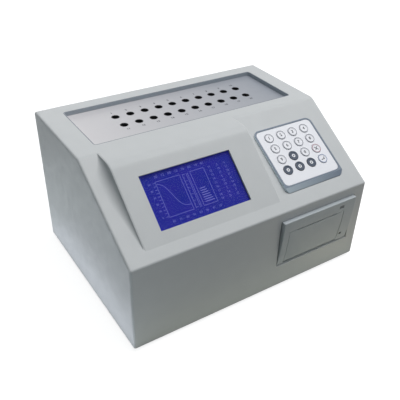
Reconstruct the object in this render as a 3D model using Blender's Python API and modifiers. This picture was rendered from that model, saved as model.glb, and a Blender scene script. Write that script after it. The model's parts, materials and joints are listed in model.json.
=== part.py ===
"""Erythrocyte sedimentation rate analyzer for twenty sample tubes.

A free-standing bench instrument: a moulded housing with a sunk sample panel on top, a
sloped console that carries a display hump and a keypad, and a strip printer in the front.
Inside, a carriage with light barriers rides up and down between the two rows of tubes.

Units are metres. X runs to the right, Y to the back and Z up. The origin lies under the
middle of the instrument, on the surface that its feet stand on.
"""

import math

import bmesh
import bpy
from mathutils import Matrix, Vector

# Fits that many pieces share
CLEARANCE = 0.0003
OVERRUN = 0.010
SINK = 0.001

# Housing
WIDTH = 0.320
DEPTH = 0.241
HEIGHT = 0.1785
FRONT_HEIGHT = 0.110
SLOPE_DEPTH = 0.112
WALL = 0.003
SIDE_EDGE = 0.0025
FRONT_EDGE_RADIUS = 0.003
BREAK_RADIUS = 0.012
REAR_TOP_RADIUS = 0.004
BOSS_RADIUS = 0.0045
BOSS_HEIGHT = 0.030

# Display hump on the console, measured from the front and the bottom of the housing
HUMP_INSET = 0.0223
HUMP_GAP = 0.011
HUMP_FOOT = 0.012
HUMP_CREST = 0.085
HUMP_CREST_RADIUS = 0.020
HUMP_WALL = 0.0024
HUMP_EDGE = 0.0018
HUMP_TAIL = 0.012

# Display
WINDOW_LEFT_MARGIN = 0.0251
WINDOW_RIGHT_MARGIN = 0.0354
WINDOW_LOW_MARGIN = 0.0137
WINDOW_TOP_MARGIN = 0.0200
WINDOW_LAP = 0.003
WINDOW_THICKNESS = 0.0015
MODULE_LAP = 0.005
MODULE_DEPTH = 0.008
MODULE_BOARD = 0.0016

# Sunk sample panel
RECESS_LEFT = 0.0270
RECESS_RIGHT = 0.0227
RECESS_LEDGE = 0.0177
RECESS_BACK = 0.0202
RECESS_CORNER = 0.004
RECESS_SINK = 0.0051
COLLAR_WALL = 0.003
PANEL_LAP = 0.006
PANEL_THICKNESS = 0.003
PANEL_FILM = 0.0008
TUBE_COUNT = 10
TUBE_LEFT = 0.080
TUBE_RIGHT = 0.066
TUBE_SHIFT = 0.00325
TUBE_ROW_GAP = 0.0231
TUBE_HOLE = 0.005
TUBE_SIDES = 16

# Rack under the panel
RACK_HEIGHT = 0.0764
RACK_FLOOR = 0.004
SOCKET_DEPTH = 0.020
SOCKET_SIDES = 12
RACK_MARGIN = 0.003
RACK_SIDE_MARGIN = 0.0055
RACK_LEG = 0.004
RACK_LEG_INSET = 0.008
RACK_LEG_SPREAD = 0.030

# Base, rear panel and feet
BASE_THICKNESS = 0.002
REAR_RECESS = 0.006
REAR_THICKNESS = 0.002
FOOT_HEIGHT = 0.004
FOOT_RADIUS = 0.009
FOOT_TAPER = 0.001
FOOT_BORE = 0.0035
FOOT_FLOOR = 0.0015
FOOT_INSET_X = 0.022
FOOT_INSET_Y = 0.024
VENT_COLUMNS = 9
VENT_ROWS = 2
VENT_WIDTH = 0.003
VENT_LENGTH = 0.024
VENT_PITCH = 0.009
VENT_INSET = 0.100
VENT_DROP = 0.0725

# Sensor drive
CARRIAGE_THICKNESS = 0.008
CARRIAGE_GAP = 0.001
CARRIAGE_RAIL = 0.007
CARRIAGE_END = 0.0155
CARRIAGE_SLOT = 0.0061
CARRIAGE_EDGE = 0.0015
ROD_RADIUS = 0.004
ROD_GAP = 0.015
ROD_SEAT = 0.010
ROD_BOSS = 0.008
SCREW_GAP = 0.016
SCREW_RADIUS = 0.004
NUT_RADIUS = 0.0061
NUT_FLANGE_RADIUS = 0.011
NUT_FLANGE = 0.0035
COUPLING_RADIUS = 0.009
COUPLING_LENGTH = 0.024
COUPLING_LIFT = 0.004
MOTOR_SIZE = 0.042
MOTOR_HEIGHT = 0.040
MOTOR_CHAMFER = 0.005
PILOT_RADIUS = 0.011
PILOT_HEIGHT = 0.002
SHAFT_RADIUS = 0.0025
SHAFT_HOLD = 0.012
BRACKET_PLATE = 0.003
BRACKET_WALL = 0.002
BRACKET_WIDTH = 0.052
BRACKET_SHIFT = 0.003
SENSOR_BOARD = 0.0016
SENSOR_INSET = 0.001
SENSOR_BRIDGE = 0.0025

# Keypad, measured up the console from its front edge
KEYPAD_INSET = 0.0253
KEYPAD_WIDTH = 0.088
KEYPAD_FOOT = 0.0187
KEYPAD_LENGTH = 0.086
KEYPAD_NOSE = 0.0065
KEYPAD_FRONT_RISE = 0.0038
KEYPAD_BACK_RISE = 0.0020
KEYPAD_CORNER = 0.008
KEYPAD_BLANK = 0.008
RIM_SIDE = 0.00225
RIM_FRONT = 0.0017
RIM_BACK = 0.0020
OVERLAY_CORNER = 0.006
OVERLAY_THICKNESS = 0.0006
OVERLAY_SINK = 0.0003
PLUG_WALL = 0.002
PLUG_DEPTH = 0.008
PLUG_MARGIN = 0.0015
KEY_FIELD = 0.0687
KEY_PITCH_X = 0.0179
KEY_PITCH_Y = 0.0152
KEY_RADIUS = 0.0061
KEY_SIDES = 16
KEY_RIM = 0.0010
KEY_SLOPE = 0.0007
KEY_RISE = 0.0008
KEY_DISH = 0.0005
KEY_FLANGE = 0.0008
KEY_LIP = 0.0008
KEY_TRAVEL = 0.0005
KEY_SPARE = 0.0003
KEYPAD_BOARD = 0.0016
KEY_ROWS = (
    ("key_1", "key_2", "key_3", "key_4"),
    ("key_5", "key_6", "key_7", "key_8"),
    ("key_9", "key_up", "key_0", "key_cancel"),
    ("key_left", "key_down", "key_right", "key_enter"),
)

# Printer in the front, measured from its lower edge
PRINTER_INSET = 0.018
PRINTER_WIDTH = 0.112
PRINTER_HEAD = 0.0123
PRINTER_HEIGHT = 0.0655
PRINTER_PROUD = 0.005
PRINTER_SINK = 0.001
PRINTER_DEPTH = 0.045
PRINTER_EDGE = 0.0008
PRINTER_GAP = 0.0005
PRINTER_SIDE_GAP = 0.0012
PRINTER_BACK = 0.003
DOOR_LEFT = 0.0095
DOOR_RIGHT = 0.0175
DOOR_DROP = 0.0153
DOOR_THICKNESS = 0.0025
DOOR_GAP = 0.0004
DOOR_LIP = 0.0017
DOOR_SWEEP = 0.0005
DOOR_EDGE = 0.0004
SLOT_WIDTH = 0.063
SLOT_HEIGHT = 0.0008
HINGE_PIN = 0.001
HINGE_SEAT = 0.004
BEZEL_WALL = 0.007
BUCKET_FLOOR = 0.006
BUCKET_ROOF = 0.0045
ROLLER_RADIUS = 0.004
ROLLER_WIDTH = 0.058
SPINDLE_RADIUS = 0.0015
ROLLER_GAP = 0.0005
ARM_THICKNESS = 0.002
ARM_MARGIN = 0.002
PAPER_RADIUS = 0.017
PAPER_WIDTH = 0.057
CORE_RADIUS = 0.006
HEAD_THICKNESS = 0.0045
HEAD_DROP = 0.009
LATCH_INSET = 0.0225
LATCH_DROP = 0.008
LATCH_WIDTH = 0.0066
LATCH_HEIGHT = 0.0036
LATCH_FLANGE = 0.0012
LATCH_LIP = 0.0012
LATCH_SINK = 0.0004
FEED_INSET = 0.0125
FEED_Z = 0.012
FEED_RADIUS = 0.0019
FEED_FLANGE = 0.001
FEED_LIP = 0.0008
FEED_WALL = 0.004
FEED_SINK = 0.0004
BAY_GAP = 0.0015

# Electronics on the base
STANDOFF_RADIUS = 0.003
STANDOFF_HEIGHT = 0.008
STANDOFF_INSET = 0.006
BOARD_THICKNESS = 0.0016
BOARD_INSET = 0.020
BOARD_GAP = 0.020
BOARD_FRONT = 0.018
BOARD_DEPTH = 0.110
CHIP_SIZE = 0.020
CHIP_HEIGHT = 0.003
PLUG_ROW_WIDTH = 0.040
PLUG_ROW_DEPTH = 0.008
PLUG_ROW_HEIGHT = 0.010
SUPPLY_INSET = 0.030
SUPPLY_FRONT = 0.062
SUPPLY_WIDTH = 0.100
SUPPLY_DEPTH = 0.066
SUPPLY_HEIGHT = 0.034
SUPPLY_SHEET = 0.0015
SUPPLY_SLOTS = 8
SUPPLY_SLOT = 0.003

# Connectors in the rear panel
CONNECTOR_Z = 0.048
CONNECTOR_PITCH = 0.042
INLET_INSET = 0.042
INLET_WIDTH = 0.0270
INLET_HEIGHT = 0.0198
INLET_DEPTH = 0.020
INLET_FLANGE = 0.0025
INLET_LAP = 0.002
INLET_CHAMFER = 0.004
SOCKET_WIDTH = 0.0245
SOCKET_HEIGHT = 0.0165
SOCKET_SINK = 0.0165
PRONG_PITCH = 0.007
PRONG_OFFSET = 0.002
PRONG_WIDTH = 0.002
PRONG_HEIGHT = 0.004
PRONG_SINK = 0.002
SWITCH_WIDTH = 0.013
SWITCH_HEIGHT = 0.0192
SWITCH_DEPTH = 0.014
SWITCH_FLANGE = 0.002
SWITCH_LAP = 0.001
SWITCH_WALL = 0.0012
ROCKER_SWING = math.radians(20)
ROCKER_GAP = 0.0006
ROCKER_AXIS = 0.0025
ROCKER_BELLY = 0.003
PORT_FLANGE_WIDTH = 0.0308
PORT_FLANGE_HEIGHT = 0.0125
PORT_FLANGE = 0.0012
PORT_WIDTH = 0.0169
PORT_HEIGHT = 0.0083
PORT_RISE = 0.0040
PORT_DEPTH = 0.010
PORT_LEAN = math.radians(10)
PORT_CORNER = 0.0012

# Places that follow from the sizes
FRONT_Y = (PRINTER_PROUD - DEPTH) / 2
REAR_Y = FRONT_Y + DEPTH
REAR_FACE = REAR_Y - REAR_RECESS
TOP_Z = FOOT_HEIGHT + HEIGHT
BASE_TOP = FOOT_HEIGHT + BASE_THICKNESS
SLOPE = math.atan2(HEIGHT - FRONT_HEIGHT, SLOPE_DEPTH)
KEYPAD_X = WIDTH / 2 - KEYPAD_INSET - KEYPAD_WIDTH / 2
HUMP_LEFT = HUMP_INSET - WIDTH / 2
HUMP_RIGHT = KEYPAD_X - KEYPAD_WIDTH / 2 - HUMP_GAP
HUMP_FOOT_Z = FRONT_HEIGHT + HUMP_FOOT * math.tan(SLOPE)
HUMP_RUN = HUMP_CREST - HUMP_FOOT
HUMP_RISE = HEIGHT - HUMP_FOOT_Z
HUMP_ANGLE = math.atan2(HUMP_RISE, HUMP_RUN)
WINDOW_LEFT = HUMP_LEFT + WINDOW_LEFT_MARGIN
WINDOW_RIGHT = HUMP_RIGHT - WINDOW_RIGHT_MARGIN
WINDOW_TOP = math.hypot(HUMP_RUN, HUMP_RISE) - WINDOW_TOP_MARGIN
RECESS_FRONT = SLOPE_DEPTH + RECESS_LEDGE
RECESS_REAR = DEPTH - RECESS_BACK
PANEL_TOP = TOP_Z - RECESS_SINK
PANEL_UNDERSIDE = PANEL_TOP - PANEL_THICKNESS
TUBE_X = (TUBE_LEFT - TUBE_RIGHT) / 2
TUBE_Y = FRONT_Y + (RECESS_FRONT + RECESS_REAR) / 2 + TUBE_SHIFT
TUBE_SPAN = WIDTH - TUBE_LEFT - TUBE_RIGHT
TUBE_PITCH = TUBE_SPAN / (TUBE_COUNT - 1)
SOCKET_FLOOR = BASE_TOP + RACK_HEIGHT
RACK_TOP = SOCKET_FLOOR + SOCKET_DEPTH
CARRIAGE_Z = RACK_TOP + CARRIAGE_GAP
CARRIAGE_TOP = CARRIAGE_Z + CARRIAGE_THICKNESS
ROD_X = TUBE_SPAN / 2 + ROD_GAP
SLOT_END = ROD_X - CARRIAGE_END / 2
MOTOR_X = TUBE_X + ROD_X + SCREW_GAP
MOTOR_Z = BASE_TOP + CLEARANCE
MOTOR_TOP = MOTOR_Z + MOTOR_HEIGHT
BRACKET_TOP = MOTOR_TOP + CLEARANCE + BRACKET_PLATE
COUPLING_Z = BRACKET_TOP + COUPLING_LIFT
COUPLING_MIDDLE = COUPLING_Z + COUPLING_LENGTH / 2
KEYPAD_RUN = KEYPAD_LENGTH - KEYPAD_NOSE
KEYPAD_LEAN = math.atan2(KEYPAD_FRONT_RISE - KEYPAD_BACK_RISE, KEYPAD_RUN)
NOSE_ANGLE = math.atan2(KEYPAD_FRONT_RISE, KEYPAD_NOSE)
OVERLAY_TOP = -OVERLAY_SINK
OVERLAY_UNDERSIDE = OVERLAY_TOP - OVERLAY_THICKNESS
FLANGE_TOP = OVERLAY_UNDERSIDE - CLEARANCE
FLANGE_UNDERSIDE = FLANGE_TOP - KEY_FLANGE
KEYPAD_BOARD_TOP = FLANGE_UNDERSIDE - KEY_TRAVEL - KEY_SPARE
FACE_DROP = PRINTER_PROUD + PRINTER_SINK
FACE_RADIUS = (PRINTER_HEIGHT**2 + FACE_DROP**2) / (2 * FACE_DROP)
PRINTER_X = WIDTH / 2 - PRINTER_INSET - PRINTER_WIDTH / 2
PRINTER_BOTTOM = FRONT_HEIGHT - PRINTER_HEAD - PRINTER_HEIGHT
DOOR_X = (DOOR_LEFT - DOOR_RIGHT) / 2
DOOR_WIDTH = PRINTER_WIDTH - DOOR_LEFT - DOOR_RIGHT
DOOR_TOP = PRINTER_HEIGHT - DOOR_DROP
BUCKET_CEILING = PRINTER_HEIGHT - BUCKET_ROOF
LATCH_X = PRINTER_WIDTH / 2 - LATCH_INSET
LATCH_Z = PRINTER_HEIGHT - LATCH_DROP
FEED_X = PRINTER_WIDTH / 2 - FEED_INSET
HINGE_Z = DOOR_LIP + DOOR_SWEEP + DOOR_THICKNESS
ROLLER_Z = DOOR_TOP - ROLLER_RADIUS - CLEARANCE
PAPER_Y = PRINTER_DEPTH - PRINTER_BACK - CLEARANCE - PAPER_RADIUS
PAPER_Z = BUCKET_FLOOR + CLEARANCE + PAPER_RADIUS
SUPPLY_X = WIDTH / 2 - SUPPLY_INSET - SUPPLY_WIDTH / 2
BOARD_WIDTH = WIDTH - BOARD_INSET - BOARD_GAP - SUPPLY_WIDTH - SUPPLY_INSET
BOARD_X = BOARD_INSET + BOARD_WIDTH / 2 - WIDTH / 2
INLET_X = INLET_INSET - WIDTH / 2
SWITCH_X = INLET_X + CONNECTOR_PITCH
PORT_X = SWITCH_X + CONNECTOR_PITCH
VENT_X = WIDTH / 2 - VENT_INSET
VENT_Z = TOP_Z - VENT_DROP

# Frames in which pieces are laid out
WORLD = Matrix.Identity(4)
CASE = Matrix.Translation((0, FRONT_Y, FOOT_HEIGHT))
SIDEWAYS = Matrix(((0, 0, 1), (1, 0, 0), (0, 1, 0))).to_4x4()
BACKWARDS = Matrix(((-1, 0, 0), (0, 0, 1), (0, 1, 0))).to_4x4()
CONSOLE = CASE @ Matrix.Translation((0, 0, FRONT_HEIGHT)) @ Matrix.Rotation(SLOPE, 4, "X")
HUMP = CASE @ Matrix.Translation((0, HUMP_FOOT, HUMP_FOOT_Z)) @ Matrix.Rotation(HUMP_ANGLE, 4, "X")
NOSE = CONSOLE @ Matrix.Translation((KEYPAD_X, KEYPAD_FOOT, 0)) @ Matrix.Rotation(NOSE_ANGLE, 4, "X")
KEYPAD = (
    CONSOLE
    @ Matrix.Translation((KEYPAD_X, KEYPAD_FOOT + KEYPAD_NOSE, KEYPAD_FRONT_RISE))
    @ Matrix.Rotation(-KEYPAD_LEAN, 4, "X")
)
PRINTER = CASE @ Matrix.Translation((PRINTER_X, 0, PRINTER_BOTTOM))
REAR = Matrix.Translation((0, REAR_FACE, CONNECTOR_Z)) @ BACKWARDS

ARC_STEPS = 5
FACE_STEPS = 8
SHARP = math.radians(35)
EDGE_LIMIT = math.radians(60)
ROUND_SIDES = 16
WELD = 0.00001
FLAT = 0.001


def collection(name):
    made = bpy.data.collections.new(name)
    bpy.context.scene.collection.children.link(made)
    return made


def srgb(red, green, blue):
    """Linear colour of a colour given as it looks on a screen, from 0 to 255."""
    linear = []
    for share in (red / 255, green / 255, blue / 255):
        linear.append(share / 12.92 if share < 0.04045 else ((share + 0.055) / 1.055) ** 2.4)
    return linear


def material(name, colour, roughness, metallic=0.0, alpha=1.0):
    made = bpy.data.materials.new(name)
    made.use_nodes = True
    shader = made.node_tree.nodes["Principled BSDF"]
    shader.inputs["Base Color"].default_value = (*colour, 1.0)
    shader.inputs["Roughness"].default_value = roughness
    shader.inputs["Metallic"].default_value = metallic
    shader.inputs["Alpha"].default_value = alpha
    return made


def around(middle, size):
    return middle - size / 2, middle + size / 2


def grown(span, margin):
    return span[0] - margin, span[1] + margin


def rounded(corners, radii, steps=ARC_STEPS):
    """The outline through the corners, with an arc of its own radius at each of them."""
    outline = []
    for index, (corner, radius) in enumerate(zip(corners, radii)):
        corner = Vector(corner)
        if radius <= 0:
            outline.append(corner)
            continue
        before = (Vector(corners[index - 1]) - corner).normalized()
        after = (Vector(corners[(index + 1) % len(corners)]) - corner).normalized()
        half = before.angle(after) / 2
        centre = corner + (before + after).normalized() * radius / math.sin(half)
        start = corner + before * radius / math.tan(half) - centre
        end = corner + after * radius / math.tan(half) - centre
        turn = start.angle_signed(end)
        for step in range(steps + 1):
            outline.append(centre + Matrix.Rotation(-turn * step / steps, 2) @ start)
    return outline


def rectangle(x, y, radius=0.0):
    return rounded([(x[0], y[0]), (x[1], y[0]), (x[1], y[1]), (x[0], y[1])], [radius] * 4)


def arc(centre, radius, first, last, steps):
    """Points on a circle from one angle to another."""
    angles = [first + (last - first) * step / steps for step in range(steps + 1)]
    return [Vector(centre) + radius * Vector((math.cos(angle), math.sin(angle))) for angle in angles]


def piece(name, mesh, frame, finish=None):
    """A part of the instrument, or, without a finish, a cutter or another helper."""
    made = bpy.data.objects.new(name, mesh)
    made.matrix_world = frame
    if finish is None:
        HELPERS.objects.link(made)
        made.hide_render = True
        made.display_type = "WIRE"
    else:
        PIECES.objects.link(made)
        mesh.materials.append(finish)
    return made


def shaded(mesh):
    mesh.shade_smooth()
    mesh.set_sharp_from_angle(angle=SHARP)
    return mesh


def mesh_of(shape, name):
    mesh = bpy.data.meshes.new(name)
    shape.to_mesh(mesh)
    shape.free()
    return shaded(mesh)


def boxes(name, spans, frame=WORLD, finish=None):
    """One mesh with a box for each ((x0, x1), (y0, y1), (z0, z1))."""
    shape = bmesh.new()
    for span in spans:
        size = [high - low for low, high in span]
        middle = [(high + low) / 2 for low, high in span]
        place = Matrix.Translation(middle) @ Matrix.Diagonal((*size, 1.0))
        bmesh.ops.create_cube(shape, size=1.0, matrix=place)
    return piece(name, mesh_of(shape, name), frame, finish)


def box(name, x, y, z, frame=WORLD, finish=None):
    return boxes(name, [(x, y, z)], frame, finish)


def cylinders(name, radius, places, z, frame=WORLD, finish=None, sides=ROUND_SIDES):
    """One mesh with an upright cylinder at each place (x, y)."""
    shape = bmesh.new()
    for x, y in places:
        bmesh.ops.create_cone(
            shape,
            cap_ends=True,
            segments=sides,
            radius1=radius,
            radius2=radius,
            depth=z[1] - z[0],
            matrix=Matrix.Translation((x, y, (z[0] + z[1]) / 2)),
        )
    return piece(name, mesh_of(shape, name), frame, finish)


def evaluated_mesh(helper):
    """The mesh of a helper with its modifiers applied. The helper is removed."""
    graph = bpy.context.evaluated_depsgraph_get()
    mesh = bpy.data.meshes.new_from_object(helper.evaluated_get(graph))
    bpy.data.objects.remove(helper, do_unlink=True)
    return mesh


def turned(name, profile, frame=WORLD, finish=None, sides=ROUND_SIDES):
    """The profile (radius, height), from the top down its outer side, turned round Z."""
    closed = profile[0][0] > 0 and profile[-1][0] > 0
    edges = [(index, index + 1) for index in range(len(profile) - 1)]
    if closed:
        edges.append((len(profile) - 1, 0))
    line = bpy.data.meshes.new(name)
    line.from_pydata([(radius, 0, height) for radius, height in profile], edges, [])
    helper = piece(name, line, WORLD)
    screw = helper.modifiers.new("Turn", "SCREW")
    screw.steps = sides
    screw.render_steps = sides
    screw.use_merge_vertices = True
    screw.merge_threshold = WELD
    return piece(name, shaded(evaluated_mesh(helper)), frame, finish)


def prism(name, outline, z, frame=WORLD, finish=None):
    """A flat outline in X and Y, extruded from z[0] to z[1]."""
    curve = bpy.data.curves.new(name, "CURVE")
    curve.dimensions = "2D"
    curve.fill_mode = "BOTH"
    curve.extrude = (z[1] - z[0]) / 2
    spline = curve.splines.new("POLY")
    spline.points.add(len(outline) - 1)
    for point, corner in zip(spline.points, outline):
        point.co = (corner[0], corner[1], 0, 1)
    spline.use_cyclic_u = True
    helper = bpy.data.objects.new(name, curve)
    HELPERS.objects.link(helper)
    shape = bmesh.new()
    mesh = evaluated_mesh(helper)
    shape.from_mesh(mesh)
    bpy.data.meshes.remove(mesh)
    bmesh.ops.remove_doubles(shape, verts=shape.verts, dist=WELD)
    bmesh.ops.dissolve_limit(shape, angle_limit=FLAT, verts=shape.verts, edges=shape.edges)
    bmesh.ops.recalc_face_normals(shape, faces=shape.faces)
    bmesh.ops.translate(shape, verts=shape.verts, vec=(0, 0, (z[0] + z[1]) / 2))
    return piece(name, mesh_of(shape, name), frame, finish)


def bevel(target, width, segments=2):
    """Rounds the edges between faces that meet at 60 degrees or more."""
    edges = target.modifiers.new("Edges", "BEVEL")
    edges.width = width
    edges.segments = segments
    edges.limit_method = "ANGLE"
    edges.angle_limit = EDGE_LIMIT
    return target


def cut(target, *others):
    for other in others:
        change = target.modifiers.new("Cut " + other.name, "BOOLEAN")
        change.operation = "DIFFERENCE"
        change.object = other
    return target


def join(target, *others):
    for other in others:
        change = target.modifiers.new("Join " + other.name, "BOOLEAN")
        change.operation = "UNION"
        change.object = other
    return target


def pivot(name, place, *riders):
    """An empty on a joint's axis, which carries the pieces that move about or along it."""
    made = bpy.data.objects.new(name, None)
    made.matrix_world = place
    PIECES.objects.link(made)
    for rider in riders:
        rider.parent = made
        rider.matrix_parent_inverse = place.inverted()
    return made


def tube_rows():
    return TUBE_Y - TUBE_ROW_GAP / 2, TUBE_Y + TUBE_ROW_GAP / 2


def tube_places(rows):
    first = TUBE_X - TUBE_SPAN / 2
    return [(first + index * TUBE_PITCH, y) for y in rows for index in range(TUBE_COUNT)]


def row_strips(span):
    """A block's three strips, parted along both rows of tubes, with the rows that each one meets."""
    rows = tube_rows()
    seam = CLEARANCE / 2
    return [
        ("front", (span[0], rows[0] - seam), rows[:1]),
        ("middle", (rows[0] + seam, rows[1] - seam), rows),
        ("rear", (rows[1] + seam, span[1]), rows[1:]),
    ]


def boss_places():
    x = WIDTH / 2 - WALL - BOSS_RADIUS + SINK
    return [(side * x, y) for side in (-1, 1) for y in (FRONT_Y + FOOT_INSET_Y, REAR_Y - FOOT_INSET_Y)]


def console_outline():
    corners = [(0, 0), (0, FRONT_HEIGHT), (SLOPE_DEPTH, HEIGHT), (DEPTH, HEIGHT), (DEPTH, 0)]
    return rounded(corners, [0, FRONT_EDGE_RADIUS, BREAK_RADIUS, REAR_TOP_RADIUS, 0])


def console_cavity():
    """The inside of the housing: one wall in from the front, the console and the top."""
    drop = WALL / math.cos(SLOPE)
    ceiling = HEIGHT - WALL
    front = FRONT_HEIGHT + WALL * math.tan(SLOPE) - drop
    inner_break = (ceiling - FRONT_HEIGHT + drop) / math.tan(SLOPE)
    back = DEPTH + OVERRUN
    corners = [(WALL, -OVERRUN), (WALL, front), (inner_break, ceiling), (back, ceiling), (back, -OVERRUN)]
    return rounded(corners, [0, 0, BREAK_RADIUS - WALL, 0, 0])


def hump_outline(wall, ceiling):
    """The hump from the side. Its lower stretch lies inside the console."""
    along = Vector((math.cos(HUMP_ANGLE), math.sin(HUMP_ANGLE)))
    foot = Vector((HUMP_FOOT, HUMP_FOOT_Z - wall / math.cos(HUMP_ANGLE)))
    crest = Vector((HUMP_FOOT + (ceiling - foot.y) / math.tan(HUMP_ANGLE), ceiling))
    tail = SLOPE_DEPTH + HUMP_TAIL
    corners = [foot - along * OVERRUN, crest, (tail, ceiling), (tail, ceiling - OVERRUN)]
    return rounded(corners, [0, HUMP_CREST_RADIUS - wall, 0, 0])


def recess_spans():
    x = (RECESS_LEFT - WIDTH / 2, WIDTH / 2 - RECESS_RIGHT)
    return x, (FRONT_Y + RECESS_FRONT, FRONT_Y + RECESS_REAR)


def make_housing(finish):
    """The moulded shell: console, display hump, collar round the sample panel, openings."""
    frame = CASE @ SIDEWAYS
    shell = prism("upper_housing", console_outline(), around(0, WIDTH), frame, finish)
    bevel(shell, SIDE_EDGE, 3)
    hump = prism("hump", hump_outline(0, HEIGHT), (HUMP_LEFT, HUMP_RIGHT), frame)
    bevel(hump, HUMP_EDGE)
    cavity = prism("cavity", console_cavity(), around(0, WIDTH - 2 * WALL), frame)
    hump_inside = (HUMP_LEFT + WALL, HUMP_RIGHT - WALL)
    hump_cavity = prism("hump_cavity", hump_outline(HUMP_WALL, HEIGHT - WALL), hump_inside, frame)
    cut(join(shell, hump), cavity, hump_cavity)

    x, y = recess_spans()
    collar_outline = rectangle(grown(x, COLLAR_WALL), grown(y, COLLAR_WALL), RECESS_CORNER + COLLAR_WALL)
    collar = prism("collar", collar_outline, (PANEL_TOP + CLEARANCE, TOP_Z - SINK))
    bosses = cylinders("bosses", BOSS_RADIUS, boss_places(), (BASE_TOP + CLEARANCE, BASE_TOP + BOSS_HEIGHT))
    join(shell, collar, bosses)

    recess = prism("recess", rectangle(x, y, RECESS_CORNER), grown((PANEL_TOP, TOP_Z), OVERRUN))
    window = box("window_opening", *window_spans(), (-OVERRUN, OVERRUN), HUMP)
    x, y = plug_spans()
    pad = box("keypad_opening", grown(x, CLEARANCE), grown(y, CLEARANCE), (-PLUG_DEPTH - OVERRUN, 0), KEYPAD)
    slot = box(
        "printer_opening",
        around(0, PRINTER_WIDTH + 2 * PRINTER_SIDE_GAP),
        (-OVERRUN, WALL + OVERRUN),
        grown((0, PRINTER_HEIGHT), PRINTER_GAP),
        PRINTER,
    )
    return cut(shell, recess, window, pad, slot)


def window_spans():
    return (WINDOW_LEFT, WINDOW_RIGHT), (WINDOW_LOW_MARGIN, WINDOW_TOP)


def make_display(glass, board):
    """The clear window behind the wall of the hump, and the display module behind it."""
    x, y = window_spans()
    top = -HUMP_WALL - CLEARANCE
    bottom = top - WINDOW_THICKNESS
    box("lcd_window", grown(x, WINDOW_LAP), grown(y, WINDOW_LAP), (bottom, top), HUMP, glass)
    top = bottom - CLEARANCE
    bottom = top - MODULE_DEPTH
    module = box("lcd_module", x, y, (bottom, top), HUMP, board)
    carrier = grown(x, MODULE_LAP), grown(y, MODULE_LAP), (bottom, bottom + MODULE_BOARD)
    join(module, box("lcd_carrier", *carrier, HUMP))


def make_sample_panel(finish, backing):
    """The panel's film, and the three strips of the deck under it, which meet along the rows."""
    x, y = recess_spans()
    wide = grown(x, PANEL_LAP)
    outline = rectangle(wide, grown(y, PANEL_LAP), RECESS_CORNER + PANEL_LAP)
    film = prism("sample_panel", outline, (PANEL_TOP - PANEL_FILM, PANEL_TOP), WORLD, finish)
    through = grown((PANEL_UNDERSIDE, PANEL_TOP), OVERRUN)
    cut(film, cylinders("film_holes", TUBE_HOLE, tube_places(tube_rows()), through, sides=TUBE_SIDES))
    deck = (PANEL_UNDERSIDE, PANEL_TOP - PANEL_FILM - CLEARANCE)
    for name, span, rows in row_strips(grown(y, PANEL_LAP)):
        strip = box("deck_" + name, wide, span, deck, WORLD, backing)
        cut(strip, cylinders("deck_holes", TUBE_HOLE, tube_places(rows), through, sides=TUBE_SIDES))


def make_rack(finish):
    """The table on two legs that the tubes stand on, with three rails whose grooves keep them upright."""
    x = around(TUBE_X, TUBE_SPAN + 2 * (TUBE_HOLE + RACK_MARGIN))
    y = around(TUBE_Y, TUBE_ROW_GAP + 2 * (TUBE_HOLE + RACK_SIDE_MARGIN))
    underside = SOCKET_FLOOR - RACK_FLOOR
    table = box("rack_table", x, y, (underside, SOCKET_FLOOR), WORLD, finish)
    z = (BASE_TOP + CLEARANCE, underside + SINK)
    left = x[0] + RACK_LEG_INSET
    right = x[1] - RACK_LEG_INSET
    across = around(TUBE_Y, RACK_LEG_SPREAD)
    join(table, boxes("legs", [((left, left + RACK_LEG), across, z), ((right - RACK_LEG, right), across, z)]))
    tall = (SOCKET_FLOOR + CLEARANCE, RACK_TOP)
    for name, span, rows in row_strips(y):
        rail = box("rack_" + name, x, span, tall, WORLD, finish)
        cut(rail, cylinders("grooves", TUBE_HOLE, tube_places(rows), grown(tall, OVERRUN), sides=SOCKET_SIDES))


def make_base(finish):
    """The floor plate with the posts of the boards and the seat of the left guide rod."""
    x = around(0, WIDTH - 2 * (WALL + CLEARANCE))
    y = (FRONT_Y + WALL + CLEARANCE, REAR_FACE)
    base = box("base_plate", x, y, (FOOT_HEIGHT, BASE_TOP), WORLD, finish)
    posts = cylinders(
        "posts",
        STANDOFF_RADIUS,
        post_places(BOARD_X, BOARD_FRONT, BOARD_WIDTH, BOARD_DEPTH)
        + post_places(SUPPLY_X, SUPPLY_FRONT, SUPPLY_WIDTH, SUPPLY_DEPTH),
        (BASE_TOP - SINK, BASE_TOP + STANDOFF_HEIGHT),
        sides=SOCKET_SIDES,
    )
    left_rod = [(TUBE_X - ROD_X, TUBE_Y)]
    seat = cylinders("rod_seat", ROD_BOSS, left_rod, (BASE_TOP - SINK, BASE_TOP + ROD_SEAT))
    bore = cylinders("rod_bore", ROD_RADIUS + CLEARANCE, left_rod, (BASE_TOP, BASE_TOP + ROD_SEAT + OVERRUN))
    return cut(join(base, posts, seat), bore)


def post_places(x, front, width, depth):
    across = around(x, width - 2 * STANDOFF_INSET)
    along = (FRONT_Y + front + STANDOFF_INSET, FRONT_Y + front + depth - STANDOFF_INSET)
    return [(left, deep) for left in across for deep in along]


def make_feet(finish):
    """Four rubber feet with a sunk screw hole."""
    top = FOOT_HEIGHT - CLEARANCE
    profile = [
        (0, top),
        (FOOT_RADIUS, top),
        (FOOT_RADIUS - FOOT_TAPER, 0),
        (FOOT_BORE, 0),
        (FOOT_BORE, FOOT_FLOOR),
        (0, FOOT_FLOOR),
    ]
    x = WIDTH / 2 - FOOT_INSET_X
    for side, left in (("left", -x), ("right", x)):
        turned("foot_front_" + side, profile, Matrix.Translation((left, FRONT_Y + FOOT_INSET_Y, 0)), finish)
        turned("foot_rear_" + side, profile, Matrix.Translation((left, REAR_Y - FOOT_INSET_Y, 0)), finish)


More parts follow.
